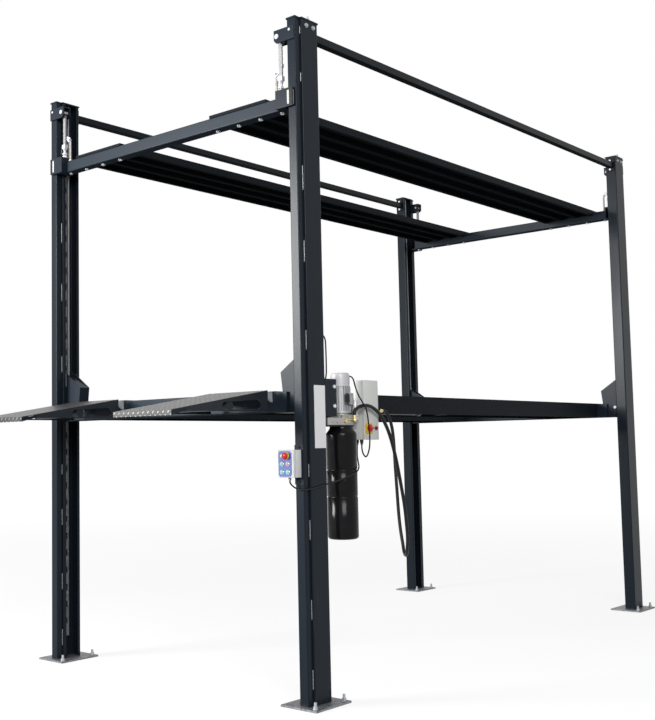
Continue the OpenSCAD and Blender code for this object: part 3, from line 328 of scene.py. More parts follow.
soft_lamp("front_left_softbox", (-4.7, -9.1, 3.9), (0.6, -1.7, 2.0), (3.2, 3.0), 1300)
soft_lamp("right_softbox", (8.6, -8.2, 5.6), (0.6, -0.4, 1.6), (5, 4), 900)

bpy.context.scene.view_settings.view_transform = "Standard"


# Painted steelwork
# Folded and welded sheet steel in a semi-gloss slate powder coat: posts, caps, beams,
# carriages, guide shoes, tie bars and brackets. Faint orange peel, dust and rub marks.

def dress(node, *materials):
    """Gives a CAD node its finish."""
    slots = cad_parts[node].data.materials
    slots.clear()
    for material in materials:
        slots.append(material)


# Thin bright lines left by straps and hooks, in one direction
rub_group, g_in, g_out = make_group(
    "rub marks",
    [("Position", "NodeSocketVector", None), ("Amount", "NodeSocketFloat", 0.5)],
    [("Mark", "NodeSocketFloat")],
)
rub_noise = rub_group.nodes.new("ShaderNodeTexNoise")
rub_noise.inputs["Scale"].default_value = 30
rub_noise.inputs["Detail"].default_value = 6
rub_noise.inputs["Roughness"].default_value = 0.7
patch_noise = rub_group.nodes.new("ShaderNodeTexNoise")
patch_noise.inputs["Scale"].default_value = 2.2
rub_group.links.new(g_in.outputs["Position"], rub_noise.inputs["Vector"])
rub_group.links.new(g_in.outputs["Position"], patch_noise.inputs["Vector"])
fine = maths(rub_group, "MULTIPLY", maths(rub_group, "SUBTRACT", rub_noise.outputs["Fac"], 0.62), 9.0, clamp=True)
patchy = maths(rub_group, "MULTIPLY", maths(rub_group, "SUBTRACT", patch_noise.outputs["Fac"], 0.52), 7.0, clamp=True)
rub_group.links.new(
    maths(rub_group, "MULTIPLY", maths(rub_group, "MULTIPLY", fine, patchy), g_in.outputs["Amount"]),
    g_out.inputs["Mark"],
)


def rub_marks(tree, position, amount):
    node = tree.nodes.new("ShaderNodeGroup")
    node.node_tree = rub_group
    node.inputs["Amount"].default_value = amount
    tree.links.new(position, node.inputs["Position"])
    return node.outputs["Mark"]


def mix_over(tree, amount, under, over):
    """Colour over laid on the colour socket under by amount."""
    node = tree.nodes.new("ShaderNodeMix")
    node.data_type = "RGBA"
    tree.links.new(under, node.inputs["A"])
    node.inputs["B"].default_value = (*over, 1)
    tree.links.new(amount, node.inputs["Factor"])
    return node.outputs["Result"]


def own_normal(tree):
    """The face's direction in the piece's own axes, as X, Y and Z."""
    geometry = tree.nodes.new("ShaderNodeNewGeometry")
    turn = tree.nodes.new("ShaderNodeVectorTransform")
    turn.vector_type = "NORMAL"
    turn.convert_from = "WORLD"
    turn.convert_to = "OBJECT"
    split = tree.nodes.new("ShaderNodeSeparateXYZ")
    tree.links.new(geometry.outputs["True Normal"], turn.inputs["Vector"])
    tree.links.new(turn.outputs["Vector"], split.inputs["Vector"])
    return split


def duller_below(tree, roughness, normal):
    """Dust and thin overspray leave the faces that look down nearly matt."""
    below = maths(tree, "LESS_THAN", normal.outputs["Z"], -0.7)
    return maths(tree, "MAXIMUM", roughness, maths(tree, "MULTIPLY", below, 0.95))


def slate_paint(name, stretch, dark, light, rough=(0.26, 0.38)):
    """Powder coat whose streaks run along the member's length."""
    material, tree, shader = new_material(name)
    shader.inputs["Specular IOR Level"].default_value = 0.11
    cloud_mask, grain_mask = mottle(tree, object_position(tree, stretch), 2.4, 30)
    marks = rub_marks(tree, object_position(tree, stretch), 0.35)
    base = blend_colours(tree, cloud_mask, dark, light)
    tree.links.new(mix_over(tree, marks, base, (0.09, 0.10, 0.11)), shader.inputs["Base Color"])
    roughness = maths(tree, "ADD", spread(tree, cloud_mask, *rough), maths(tree, "MULTIPLY", marks, 0.25))
    tree.links.new(duller_below(tree, roughness, own_normal(tree)), shader.inputs["Roughness"])
    peel = mottle(tree, object_position(tree), 90, 260)[0]
    raise_surface(tree, shader, peel, 0.0005, 0.35)
    return material


# One powder coat in four copies: the beams' copy is lighter, painted light, and the tie bars' copy much darker,
# painted shade.
post_slate = slate_paint("slate paint, upright", (1, 1, 0.10), (0.005, 0.0085, 0.013), (0.012, 0.019, 0.028), (0.20, 0.34))
lit_beam_slate = slate_paint("slate paint, lit copy, crosswise", (0.12, 1, 1), (0.008, 0.013, 0.020), (0.017, 0.027, 0.040))
shaded_bar_slate = slate_paint("slate paint, shaded copy, lengthwise", (1, 0.12, 1), (0.002, 0.003, 0.005), (0.005, 0.008, 0.011))
part_slate = slate_paint("slate paint, small parts", (1, 1, 1), (0.007, 0.011, 0.017), (0.015, 0.022, 0.032))

for node in ("post_front_left", "post_front_right", "post_rear_left", "post_rear_right"):
    dress(node, post_slate)
for node in ("upper_front_beam", "upper_rear_beam", "lower_front_beam", "lower_rear_beam"):
    dress(node, lit_beam_slate)
dress("tie_bars", shaded_bar_slate)
for node in ("post_caps", "hanger_brackets", "upper_shoes", "lower_carriages", "pump_bracket", "box_bracket"):
    dress(node, part_slate)


def new_piece(name, bm, body, slot, *materials, sharp=35):
    """Turns the bmesh into a piece that rides on the body, smooth but for its folds."""
    bmesh.ops.remove_doubles(bm, verts=bm.verts, dist=0.00002)
    bmesh.ops.recalc_face_normals(bm, faces=bm.faces)
    for face in bm.faces:
        face.smooth = True
    mesh = bpy.data.meshes.new(name)
    bm.to_mesh(mesh)
    bm.free()
    mesh.set_sharp_from_angle(angle=math.radians(sharp))
    piece = bpy.data.objects.new(name, mesh)
    bpy.context.collection.objects.link(piece)
    for material in materials:
        mesh.materials.append(material)
    if body:
        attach(piece, body)
    return piece


def add_rod(bm, low, high, radius, sides=24, rings=1):
    """Round bar from low to high, with rings of edges along it so that it can bend."""
    low, high = Vector(low), Vector(high)
    ring = bmesh.ops.create_circle(bm, cap_ends=False, segments=sides, radius=radius)["verts"]
    turn = (high - low).to_track_quat("Z", "Y").to_matrix().to_4x4()
    bmesh.ops.transform(bm, matrix=Matrix.Translation(low) @ turn, verts=ring)
    edges = list({e for v in ring for e in v.link_edges})
    bmesh.ops.contextual_create(bm, geom=edges)
    for _ in range(rings):
        grown = bmesh.ops.extrude_edge_only(bm, edges=edges)["geom"]
        verts = [v for v in grown if isinstance(v, bmesh.types.BMVert)]
        bmesh.ops.translate(bm, vec=(high - low) / rings, verts=verts)
        edges = [e for e in grown if isinstance(e, bmesh.types.BMEdge)]
    bmesh.ops.contextual_create(bm, geom=edges)


# Weld beads
# Short runs of weld that hold each guide rail to its post, painted over; their light grey,
# part metallic colour is a painted highlight of the glinting ripples. Every bead is a
# row of ripples; the runs sit at the same heights on all four posts.

weld_highlight_paint, tree, shader = new_material("weld bead, painted highlight")
cloud_mask, grain_mask = mottle(tree, object_position(tree), 60, 700)
# Light grey colour: painted highlight where the painted-over ripples catch the light.
tree.links.new(blend_colours(tree, cloud_mask, (0.10, 0.105, 0.115), (0.42, 0.43, 0.45)), shader.inputs["Base Color"])
shader.inputs["Metallic"].default_value = 0.35
tree.links.new(spread(tree, grain_mask, 0.18, 0.34), shader.inputs["Roughness"])
raise_surface(tree, shader, grain_mask, 0.0006, 0.6)

weld_runs = (
    (0.100, 0.211), (0.488, 0.599), (0.935, 1.048), (1.292, 1.366), (2.021, 2.137),
    (2.534, 2.664), (2.959, 3.108), (3.607, 3.667), (3.898, 3.947),
)
ripple = 0.005
bm = bmesh.new()
for sx in (-1, 1):
    for x in (1.1005, 1.1645):
        for y, towards_rail in ((-1.896, -1), (2.640, 1)):
            for low, high in weld_runs:
                before = set(bm.verts)
                count = round((high - low) / ripple)
                place = Vector((sx * x, y + 0.0004 * towards_rail, 0))
                add_rod(bm, place + Vector((0, 0, low)), place + Vector((0, 0, high)), 0.0042, sides=6, rings=count)
                for vert in set(bm.verts) - before:
                    step = round((vert.co.z - low) / ripple)
                    swell = 0.55 if step in (0, count) else (0.80 if step % 2 else 1.0)
                    vert.co.xy = place.xy + (vert.co.xy - place.xy) * swell
new_piece("rail_weld_beads", bm, "frame", "frame_paint", weld_highlight_paint, sharp=80)


# Bolt heads
# Zinc hex bolts, near white as a painted highlight of their glint: a row under each upper
# beam that holds the runways and shoes, and a pair in the cheek of the power unit's bracket.

def add_hex_head(bm, place, facing, across, thick, washer=0.0):
    """Chamfered hexagon head standing out from place in the direction facing, over a washer."""
    before = set(bm.verts)
    ring = bmesh.ops.create_circle(bm, cap_ends=True, segments=6, radius=across / 2 / math.cos(math.pi / 6))
    low_face = ring["verts"][0].link_faces[0]
    grown = bmesh.ops.extrude_face_region(bm, geom=[low_face])["geom"]
    top = [v for v in grown if isinstance(v, bmesh.types.BMVert)]
    bmesh.ops.translate(bm, vec=(0, 0, thick), verts=top)
    rim = [e for e in bm.edges if all(v in top for v in e.verts)]
    bmesh.ops.bevel(bm, geom=rim, affect="EDGES", offset=thick * 0.18, segments=2, profile=0.5, material=-1)
    if washer:
        add_rod(bm, (0, 0, -0.0002), (0, 0, thick * 0.22), washer, sides=24)
    turn = Vector(facing).to_track_quat("Z", "Y").to_matrix().to_4x4()
    bmesh.ops.transform(bm, matrix=Matrix.Translation(place) @ turn, verts=[v for v in bm.verts if v not in before])


# Decks
# Rolled tread sheet, folded and painted near black. The lozenges stand out on the deck and
# run down its sides, their lighter crowns a painted highlight; under the deck the sheet is plain.

tread_group, g_in, g_out = make_group(
    "tread lozenges",
    [("Across", "NodeSocketFloat", 0.0), ("Along", "NodeSocketFloat", 0.0), ("Pitch", "NodeSocketFloat", 0.026)],
    [("Raised", "NodeSocketFloat")],
)


def tread_axis(sign):
    turned = maths(tree_in, "ADD" if sign > 0 else "SUBTRACT", g_in.outputs["Across"], g_in.outputs["Along"])
    return maths(tree_in, "DIVIDE", turned, g_in.outputs["Pitch"])


tree_in = tread_group
axis_a = tread_axis(1)
axis_b = tread_axis(-1)
cell_a = maths(tree_in, "FLOOR", axis_a)
cell_b = maths(tree_in, "FLOOR", axis_b)
local_a = maths(tree_in, "SUBTRACT", maths(tree_in, "SUBTRACT", axis_a, cell_a), 0.5)
local_b = maths(tree_in, "SUBTRACT", maths(tree_in, "SUBTRACT", axis_b, cell_b), 0.5)
odd = maths(tree_in, "PINGPONG", maths(tree_in, "ADD", cell_a, cell_b), 1.0)


def lozenge(long_side, short_side):
    u = maths(tree_in, "DIVIDE", long_side, 0.44)
    v = maths(tree_in, "DIVIDE", short_side, 0.15)
    r = maths(tree_in, "ADD", maths(tree_in, "MULTIPLY", u, u), maths(tree_in, "MULTIPLY", v, v))
    return maths(tree_in, "MULTIPLY", maths(tree_in, "SUBTRACT", 1.0, r), 1.6, clamp=True)


one_way = maths(tree_in, "MULTIPLY", lozenge(local_a, local_b), odd)
other_way = maths(tree_in, "MULTIPLY", lozenge(local_b, local_a), maths(tree_in, "SUBTRACT", 1.0, odd))
tread_group.links.new(maths(tree_in, "ADD", one_way, other_way), g_out.inputs["Raised"])


def tread_pattern(tree, across, along, pitch):
    node = tree.nodes.new("ShaderNodeGroup")
    node.node_tree = tread_group
    node.inputs["Pitch"].default_value = pitch
    tree.links.new(across, node.inputs["Across"])
    tree.links.new(along, node.inputs["Along"])
    return node.outputs["Raised"]


def facing_up(tree):
    """1 on level faces that look up, and a second mask for faces that look sideways."""
    normal = own_normal(tree)
    up = maths(tree, "GREATER_THAN", normal.outputs["Z"], 0.7)
    side = maths(tree, "GREATER_THAN", maths(tree, "ABSOLUTE", normal.outputs["X"]), 0.7)
    return up, side


def tread_sheet(name, dark, light, crown_highlight, side_pattern, rough=(0.34, 0.52), pitch=0.032, metallic=0.0):
    material, tree, shader = new_material(name)
    position = object_position(tree)
    split = tree.nodes.new("ShaderNodeSeparateXYZ")
    tree.links.new(position, split.inputs["Vector"])
    up, side = facing_up(tree)
    on_top = tread_pattern(tree, split.outputs["X"], split.outputs["Y"], pitch)
    on_side = tread_pattern(tree, split.outputs["Z"], split.outputs["Y"], pitch)
    raised = maths(tree, "ADD", maths(tree, "MULTIPLY", on_top, up),
                   maths(tree, "MULTIPLY", maths(tree, "MULTIPLY", on_side, side), side_pattern))
    cloud_mask, grain_mask = mottle(tree, position, 3.0, 240)
    base = blend_colours(tree, cloud_mask, dark, light)
    # Lighter crowns on the raised lozenges: painted highlight.
    tree.links.new(mix_over(tree, maths(tree, "MULTIPLY", raised, 0.55), base, crown_highlight), shader.inputs["Base Color"])
    roughness = duller_below(tree, spread(tree, grain_mask, *rough), own_normal(tree))
    tree.links.new(roughness, shader.inputs["Roughness"])
    shader.inputs["Metallic"].default_value = metallic
    shader.inputs["Specular IOR Level"].default_value = 0.03
    raise_surface(tree, shader, raised, 0.0016, 0.9)
    return material


deck_black = tread_sheet("painted tread sheet", (0.006, 0.008, 0.010), (0.012, 0.015, 0.019), (0.026, 0.031, 0.037), 1.0)
for node in ("upper_left_runway", "upper_right_runway", "lower_left_runway", "lower_right_runway"):
    dress(node, deck_black)

# Entry ramps
# Slotted side plates in slate paint under a plate of bright, worn tread sheet, which tyres
# keep clean of paint.

ramp_tread, tree, shader = new_material("worn tread plate on slate sides")
position = object_position(tree)
split = tree.nodes.new("ShaderNodeSeparateXYZ")
tree.links.new(position, split.inputs["Vector"])
up, side = facing_up(tree)
lip = maths(tree, "LESS_THAN", split.outputs["Y"], -2.7245)
bare = maths(tree, "MAXIMUM", up, lip)
along = maths(tree, "ADD", split.outputs["Y"], maths(tree, "MULTIPLY", split.outputs["Z"], lip))
raised = maths(tree, "MULTIPLY", tread_pattern(tree, split.outputs["X"], along, 0.040), bare)
cloud_mask, grain_mask = mottle(tree, position, 5.0, 240)
painted = blend_colours(tree, cloud_mask, (0.014, 0.018, 0.022), (0.028, 0.034, 0.041))
metal = blend_colours(tree, cloud_mask, (0.022, 0.022, 0.024), (0.070, 0.069, 0.068))
crowned = mix_over(tree, maths(tree, "MULTIPLY", raised, 0.85), metal, (0.26, 0.257, 0.255))
both = tree.nodes.new("ShaderNodeMix")
both.data_type = "RGBA"
tree.links.new(bare, both.inputs["Factor"])
tree.links.new(painted, both.inputs["A"])
tree.links.new(crowned, both.inputs["B"])
tree.links.new(both.outputs["Result"], shader.inputs["Base Color"])
tree.links.new(maths(tree, "MULTIPLY", bare, 0.65), shader.inputs["Metallic"])
shader.inputs["Specular IOR Level"].default_value = 0.12
tree.links.new(spread(tree, grain_mask, 0.28, 0.44), shader.inputs["Roughness"])
raise_surface(tree, shader, raised, 0.002, 0.9)
for node in ("ramp_left", "ramp_right"):
    dress(node, ramp_tread)

# Nose gussets: strips that carry each side plate's lower edge on to the turned-down lip
nose_side = ((-2.6172, 1.6715), (-2.6172, 1.6870), (-2.7205, 1.6705), (-2.7205, 1.6480))
side_thick = 0.006
for body, node in (("left_ramp", "ramp_left"), ("right_ramp", "ramp_right")):
    edges_x = [v.co.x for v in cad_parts[node].data.vertices]
    bm = bmesh.new()
    for x in (min(edges_x), max(edges_x) - side_thick):
        face = bm.faces.new([bm.verts.new((x, y, z)) for y, z in nose_side])
        made = bmesh.ops.extrude_face_region(bm, geom=[face])["geom"]
        bmesh.ops.translate(bm, vec=(side_thick, 0, 0), verts=[v for v in made if isinstance(v, bmesh.types.BMVert)])
        rim = list({e for v in made if isinstance(v, bmesh.types.BMVert) for e in v.link_edges})
        bmesh.ops.bevel(bm, geom=rim, affect="EDGES", offset=0.0008, segments=1, profile=0.5, material=-1)
    new_piece(node + "_nose_gussets", bm, body, "frame_paint", part_slate)


# Galvanised and plated steel
# Base plates and safety ladders are hot-dip galvanised, with rust creeping in from their
# cut edges. Bolts, pins, nuts and sheaves are bright zinc.

spangle_group, g_in, g_out = make_group(
    "zinc spangle",
    [("Position", "NodeSocketVector", None), ("Size", "NodeSocketFloat", 60.0)],
    [("Flake", "NodeSocketFloat"), ("Stain", "NodeSocketFloat")],
)
flakes = spangle_group.nodes.new("ShaderNodeTexVoronoi")
stain = spangle_group.nodes.new("ShaderNodeTexNoise")
stain.inputs["Scale"].default_value = 9
stain.inputs["Detail"].default_value = 7
stain.inputs["Roughness"].default_value = 0.7
split = spangle_group.nodes.new("ShaderNodeSeparateColor")
spangle_group.links.new(g_in.outputs["Position"], flakes.inputs["Vector"])
spangle_group.links.new(g_in.outputs["Size"], flakes.inputs["Scale"])
spangle_group.links.new(g_in.outputs["Position"], stain.inputs["Vector"])
spangle_group.links.new(flakes.outputs["Color"], split.inputs["Color"])
spangle_group.links.new(split.outputs["Red"], g_out.inputs["Flake"])
spangle_group.links.new(stain.outputs["Fac"], g_out.inputs["Stain"])


def zinc_coat(name, dark, light, rough, rust, size=70, metallic=0.85):
    material, tree, shader = new_material(name)
    node = tree.nodes.new("ShaderNodeGroup")
    node.node_tree = spangle_group
    node.inputs["Size"].default_value = size
    tree.links.new(object_position(tree), node.inputs["Position"])
    base = blend_colours(tree, node.outputs["Flake"], dark, light)
    rusty = maths(tree, "MULTIPLY", maths(tree, "SUBTRACT", node.outputs["Stain"], 0.56), 6.0 * rust, clamp=True)
    tree.links.new(mix_over(tree, rusty, base, (0.16, 0.075, 0.035)), shader.inputs["Base Color"])
    tree.links.new(spread(tree, node.outputs["Stain"], *rough), shader.inputs["Roughness"])
    tree.links.new(maths(tree, "SUBTRACT", metallic, rusty, clamp=True), shader.inputs["Metallic"])
    return material


dull_zinc = zinc_coat("hot-dip zinc", (0.15, 0.155, 0.165), (0.27, 0.275, 0.285), (0.42, 0.62), 0.9, 70)
ladder_zinc = zinc_coat("ladder zinc", (0.20, 0.205, 0.21), (0.34, 0.345, 0.35), (0.45, 0.60), 0.25, 70)
# The bolt heads' near-white copy of the zinc is a painted highlight.
glinting_bolt_heads = zinc_coat("bolt heads, painted highlight", (0.66, 0.67, 0.68), (0.82, 0.83, 0.84), (0.30, 0.44), 0.0, 260, 0.4)
bright_zinc = zinc_coat("bright zinc", (0.34, 0.355, 0.38), (0.50, 0.515, 0.54), (0.34, 0.50), 0.0, 220, 0.30)
dress("base_plates", dull_zinc)
dress("ladder_bars", ladder_zinc)
for node in ("anchor_studs", "tie_bolts", "ladder_nuts", "hanger_pins", "chain_anchors", "latch_levers",
             "rope_sheaves", "ramp_hinge_pins"):
    dress(node, bright_zinc)


for body, y in (("upper_platform", -1.880), ("upper_platform", 2.624)):
    bm = bmesh.new()
    for sx in (-1, 1):
        for x in (0.470, 0.650, 0.830, 1.0055):
            add_hex_head(bm, (sx * x, y, 3.4602), (0, 0, -1), 0.0246, 0.0104, washer=0.0145)
    new_piece("front_beam_bolts" if y < 0 else "rear_beam_bolts", bm, body, "zinc_hardware", glinting_bolt_heads)

bm = bmesh.new()
for z in (1.700, 1.815):
    add_hex_head(bm, (1.1786, -1.663, z), (1, 0, 0), 0.0205, 0.0078, washer=0.0112)
new_piece("bracket_cheek_bolts", bm, "frame", "zinc_hardware", glinting_bolt_heads)


# Ropes and chains
# Drawn steel wire: each rope is six strands laid round a core, each chain a stack of
# links. Both are fixed at the post top and carry a platform.

wire_steel, tree, shader = new_material("drawn wire")
strands = tree.nodes.new("ShaderNodeTexWave")
strands.bands_direction = "DIAGONAL"
strands.inputs["Scale"].default_value = 60
tree.links.new(object_position(tree), strands.inputs["Vector"])
tree.links.new(blend_colours(tree, strands.outputs["Fac"], (0.10, 0.10, 0.105), (0.36, 0.365, 0.375)), shader.inputs["Base Color"])
shader.inputs["Metallic"].default_value = 0.35
tree.links.new(spread(tree, strands.outputs["Fac"], 0.38, 0.52), shader.inputs["Roughness"])
raise_surface(tree, shader, strands.outputs["Fac"], 0.001, 0.6)
dress("rope_runs", wire_steel)


corners = [(sx, y) for sx in (-1, 1) for y in (-1.821, 2.565)]
bm = bmesh.new()
for sx, y in corners:
    add_rod(bm, (sx * 1.1165, y, 1.758), (sx * 1.1165, y, 3.99), 0.0058, sides=12, rings=60)
ropes = new_piece("platform_ropes", bm, None, "rope_steel", wire_steel)
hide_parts("lower_ropes")
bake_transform(ropes)

# Leaf chain: three leaves of waisted links side by side, with the pins through them
bm = bmesh.new()
link_pitch = 0.0195
for sx in (-1, 1):
    for y in (-1.9185, 2.6625):
        for k in range(11):
            z = 3.6665 + link_pitch * (k + 0.5)
            for j, (off, high) in enumerate(((-0.0036, 0.019), (0, 0.0165), (0.0036, 0.019))):
                made = bmesh.ops.create_cube(bm, size=1)["verts"]
                wide = 0.026 if (k + j) % 2 else 0.0235
                bmesh.ops.scale(bm, vec=(wide, 0.0028, high * 0.98), verts=made)
                bmesh.ops.translate(bm, vec=(sx * 1.0325, y + off, z), verts=made)
            add_rod(bm, (sx * 1.0325, y - 0.0048, z), (sx * 1.0325, y + 0.0048, z), 0.0045, sides=12)
chains = new_piece("platform_chains", bm, None, "rope_steel", wire_steel)
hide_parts("upper_chains")
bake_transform(chains)


# Latch springs
# Coiled wire with a yellow passivated finish, slipped over each latch rod between the beam
# and the lever.

spring_wire, tree, shader = new_material("yellow passivated wire")
cloud_mask, grain_mask = mottle(tree, object_position(tree), 40, 500)
tree.links.new(blend_colours(tree, cloud_mask, (0.42, 0.30, 0.13), (0.66, 0.50, 0.26)), shader.inputs["Base Color"])
shader.inputs["Metallic"].default_value = 0.3
tree.links.new(spread(tree, grain_mask, 0.30, 0.44), shader.inputs["Roughness"])

spring_turns = 13
steps_per_turn = 14
bm = bmesh.new()
for sx in (-1, 1):
    for y in (-1.9045, 2.6485):
        before = set(bm.verts)
        ring = bmesh.ops.create_circle(bm, cap_ends=False, segments=6, radius=0.0012)["verts"]
        bmesh.ops.rotate(bm, cent=(0, 0, 0), matrix=Matrix.Rotation(math.radians(90), 3, "X"), verts=ring)
        bmesh.ops.translate(bm, vec=(0.0086, 0, 3.5505), verts=ring)
        bmesh.ops.spin(
            bm, geom=list({e for v in ring for e in v.link_edges}) + ring, cent=(0, 0, 0), axis=(0, 0, 1),
            angle=math.tau * spring_turns, steps=steps_per_turn * spring_turns,
            dvec=(0, 0, 0.124 / (steps_per_turn * spring_turns)), use_duplicate=False,
        )
        bmesh.ops.translate(bm, vec=(sx * 0.9865, y, 0), verts=[v for v in bm.verts if v not in before])
new_piece("latch_springs", bm, "upper_platform", "zinc_hardware", spring_wire, sharp=60)


# Nylon guides
# Milled blocks of natural nylon, greyed where they have run on the steel.

nylon, tree, shader = new_material("natural nylon")
cloud_mask, grain_mask = mottle(tree, object_position(tree), 18, 300)
tree.links.new(blend_colours(tree, cloud_mask, (0.40, 0.385, 0.345), (0.58, 0.57, 0.53)), shader.inputs["Base Color"])
tree.links.new(spread(tree, grain_mask, 0.40, 0.55), shader.inputs["Roughness"])
shader.inputs["Specular IOR Level"].default_value = 0.3
dress("upper_pads", nylon)
dress("lower_pads", nylon)


# Power unit
# Pressed and painted tank, cast valve block, finned motor with a pressed cowl, brass
# fittings and a silver can; one folded bracket holds them on the post.

def glossy(name, dark, light, rough, metallic=0.0, coat=0.0, cloud_size=8, grain_size=300, bump=0.0002, shine=0.5):
    material, tree, shader = new_material(name)
    shader.inputs["Specular IOR Level"].default_value = shine
    cloud_mask, grain_mask = mottle(tree, object_position(tree), cloud_size, grain_size)
    tree.links.new(blend_colours(tree, cloud_mask, dark, light), shader.inputs["Base Color"])
    tree.links.new(spread(tree, grain_mask, *rough), shader.inputs["Roughness"])
    shader.inputs["Metallic"].default_value = metallic
    shader.inputs["Coat Weight"].default_value = coat
    raise_surface(tree, shader, grain_mask, bump, 0.4)
    return material


tank_black = glossy("black tank enamel", (0.003, 0.003, 0.0035), (0.006, 0.006, 0.007), (0.12, 0.20), shine=0.12)
cylinder_black = glossy("satin black cylinder", (0.008, 0.008, 0.009), (0.018, 0.018, 0.019), (0.35, 0.50), shine=0.25)
cast_alloy = glossy("cast alloy", (0.34, 0.33, 0.31), (0.52, 0.51, 0.48), (0.42, 0.60), metallic=0.4, grain_size=600, bump=0.0005)
motor_alloy = glossy("motor alloy", (0.34, 0.35, 0.36), (0.48, 0.49, 0.50), (0.40, 0.55), metallic=0.35, grain_size=500, bump=0.0004)
cowl_silver = glossy("silver cowl", (0.46, 0.46, 0.47), (0.56, 0.56, 0.57), (0.40, 0.52), metallic=0.15, shine=0.3)
brass = glossy("turned brass", (0.52, 0.40, 0.18), (0.78, 0.64, 0.36), (0.18, 0.32), metallic=1.0)
can_silver = glossy("silver can", (0.52, 0.52, 0.54), (0.62, 0.62, 0.64), (0.34, 0.46), metallic=0.25, shine=0.3)
dress("lift_cylinder", cylinder_black)
dress("valve_block", cast_alloy)
dress("pump_motor", motor_alloy)
dress("pump_fitting", brass)
dress("runway_fitting", brass)


def add_turned(bm, outline, centre, steps=64):
    """Turned form: an outline of (radius, height) spun round the upright axis at centre."""
    before = set(bm.verts)
    verts = [bm.verts.new((r, 0, z)) for r, z in outline]
    edges = [bm.edges.new(pair) for pair in zip(verts, verts[1:])]
    bmesh.ops.spin(
        bm, geom=verts + edges, cent=(0, 0, 0), axis=(0, 0, 1), angle=math.tau,
        steps=steps, use_merge=True, use_duplicate=False,
    )
    bmesh.ops.translate(bm, vec=centre, verts=[v for v in bm.verts if v not in before])


pump_axis = (1.115, -1.521)

# Oil tank: drawn sheet with a shoulder, and two rolled beads round it
bm = bmesh.new()
tank = [(0, 0.9105), (0.070, 0.9105), (0.081, 0.9125), (0.089, 0.918), (0.0925, 0.926), (0.0925, 1.1575)]
for bead in (1.163, 1.322):
    tank += [(0.0925, bead - 0.006), (0.0905, bead - 0.004), (0.0897, bead), (0.0905, bead + 0.004), (0.0925, bead + 0.006)]
tank = [p for p in tank if p != (0.0925, 1.1575)]
tank += [(0.0925, 1.530), (0.0915, 1.538), (0.088, 1.545), (0.078, 1.557), (0.071, 1.568), (0.0695, 1.573),
         (0.0695, 1.5815), (0, 1.5815)]
add_turned(bm, tank, (*pump_axis, 0), steps=96)
tank_piece = new_piece("oil_tank_shell", bm, "frame", "tank_black", tank_black, sharp=50)
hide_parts("oil_tank")

# Fan cowl: pressed sheet with a rounded rim, a flat band and a ring of air slots on top
bm = bmesh.new()
cowl = [(0.0560, 1.8225), (0.0588, 1.8225), (0.0588, 1.870), (0.0584, 1.885), (0.0570, 1.894), (0.0540, 1.900),
        (0.0490, 1.9032), (0.0400, 1.9038), (0.0385, 1.9015), (0.0330, 1.9015), (0.0315, 1.9038), (0.0240, 1.9038),
        (0.0225, 1.9015), (0.0170, 1.9015), (0.0155, 1.9038), (0, 1.9038)]
add_turned(bm, cowl, (*pump_axis, 0), steps=72)
for k in range(8):
    a = math.tau * k / 8
    made = bmesh.ops.create_cube(bm, size=1)["verts"]
    bmesh.ops.scale(bm, vec=(0.028, 0.005, 0.0022), verts=made)
    bmesh.ops.translate(bm, vec=(0.033, 0, 1.9026), verts=made)
    bmesh.ops.rotate(bm, cent=(0, 0, 0), matrix=Matrix.Rotation(a, 3, "Z"), verts=made)
    bmesh.ops.translate(bm, vec=(*pump_axis, 0), verts=made)
cowl_piece = new_piece("fan_cowl_shell", bm, "frame", "cowl_steel", cowl_silver, sharp=40)
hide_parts("fan_cowl")

def add_block(bm, low, high, radius=0.0, segments=2):
    """Block between two corners with its edges rounded."""
    low, high = Vector(low), Vector(high)
    made = bmesh.ops.create_cube(bm, size=1)["verts"]
    bmesh.ops.scale(bm, vec=high - low, verts=made)
    bmesh.ops.translate(bm, vec=(low + high) / 2, verts=made)
    if radius:
        bmesh.ops.bevel(bm, geom=list({e for v in made for e in v.link_edges}), affect="EDGES", offset=radius,
                        segments=segments, profile=0.5, material=-1)


# Plugs in the valve block's sides, and the black lid of the motor's terminal box
bm = bmesh.new()
for y, z, across in ((-1.508, 1.606, 0.015), (-1.628, 1.611, 0.017), (-1.672, 1.611, 0.013)):
    add_hex_head(bm, (1.1701, y, z), (1, 0, 0), across, 0.0065, washer=across * 0.62)
for x, z in ((1.088, 1.634), (1.142, 1.640)):
    add_hex_head(bm, (x, -1.5761, z), (0, -1, 0), 0.012, 0.0050, washer=0.0080)
new_piece("valve_block_plugs", bm, "frame", "zinc_hardware", bright_zinc)

lid_turn = Matrix.Translation((*pump_axis, 0)) @ Matrix.Rotation(math.radians(-20), 4, "Z")
bm = bmesh.new()
add_block(bm, (0.0761, -0.0170, 1.7150), (0.0791, 0.0170, 1.7790), 0.0012)
bmesh.ops.transform(bm, matrix=lid_turn, verts=bm.verts)
new_piece("terminal_box_lid", bm, "frame", "zinc_hardware", cylinder_black)
bm = bmesh.new()
for y in (-0.0125, 0.0125):
    for z in (1.7195, 1.7745):
        add_rod(bm, (0.0789, y, z), (0.0803, y, z), 0.0030, sides=12)
bmesh.ops.transform(bm, matrix=lid_turn, verts=bm.verts)
new_piece("terminal_lid_screws", bm, "frame", "zinc_hardware", bright_zinc)

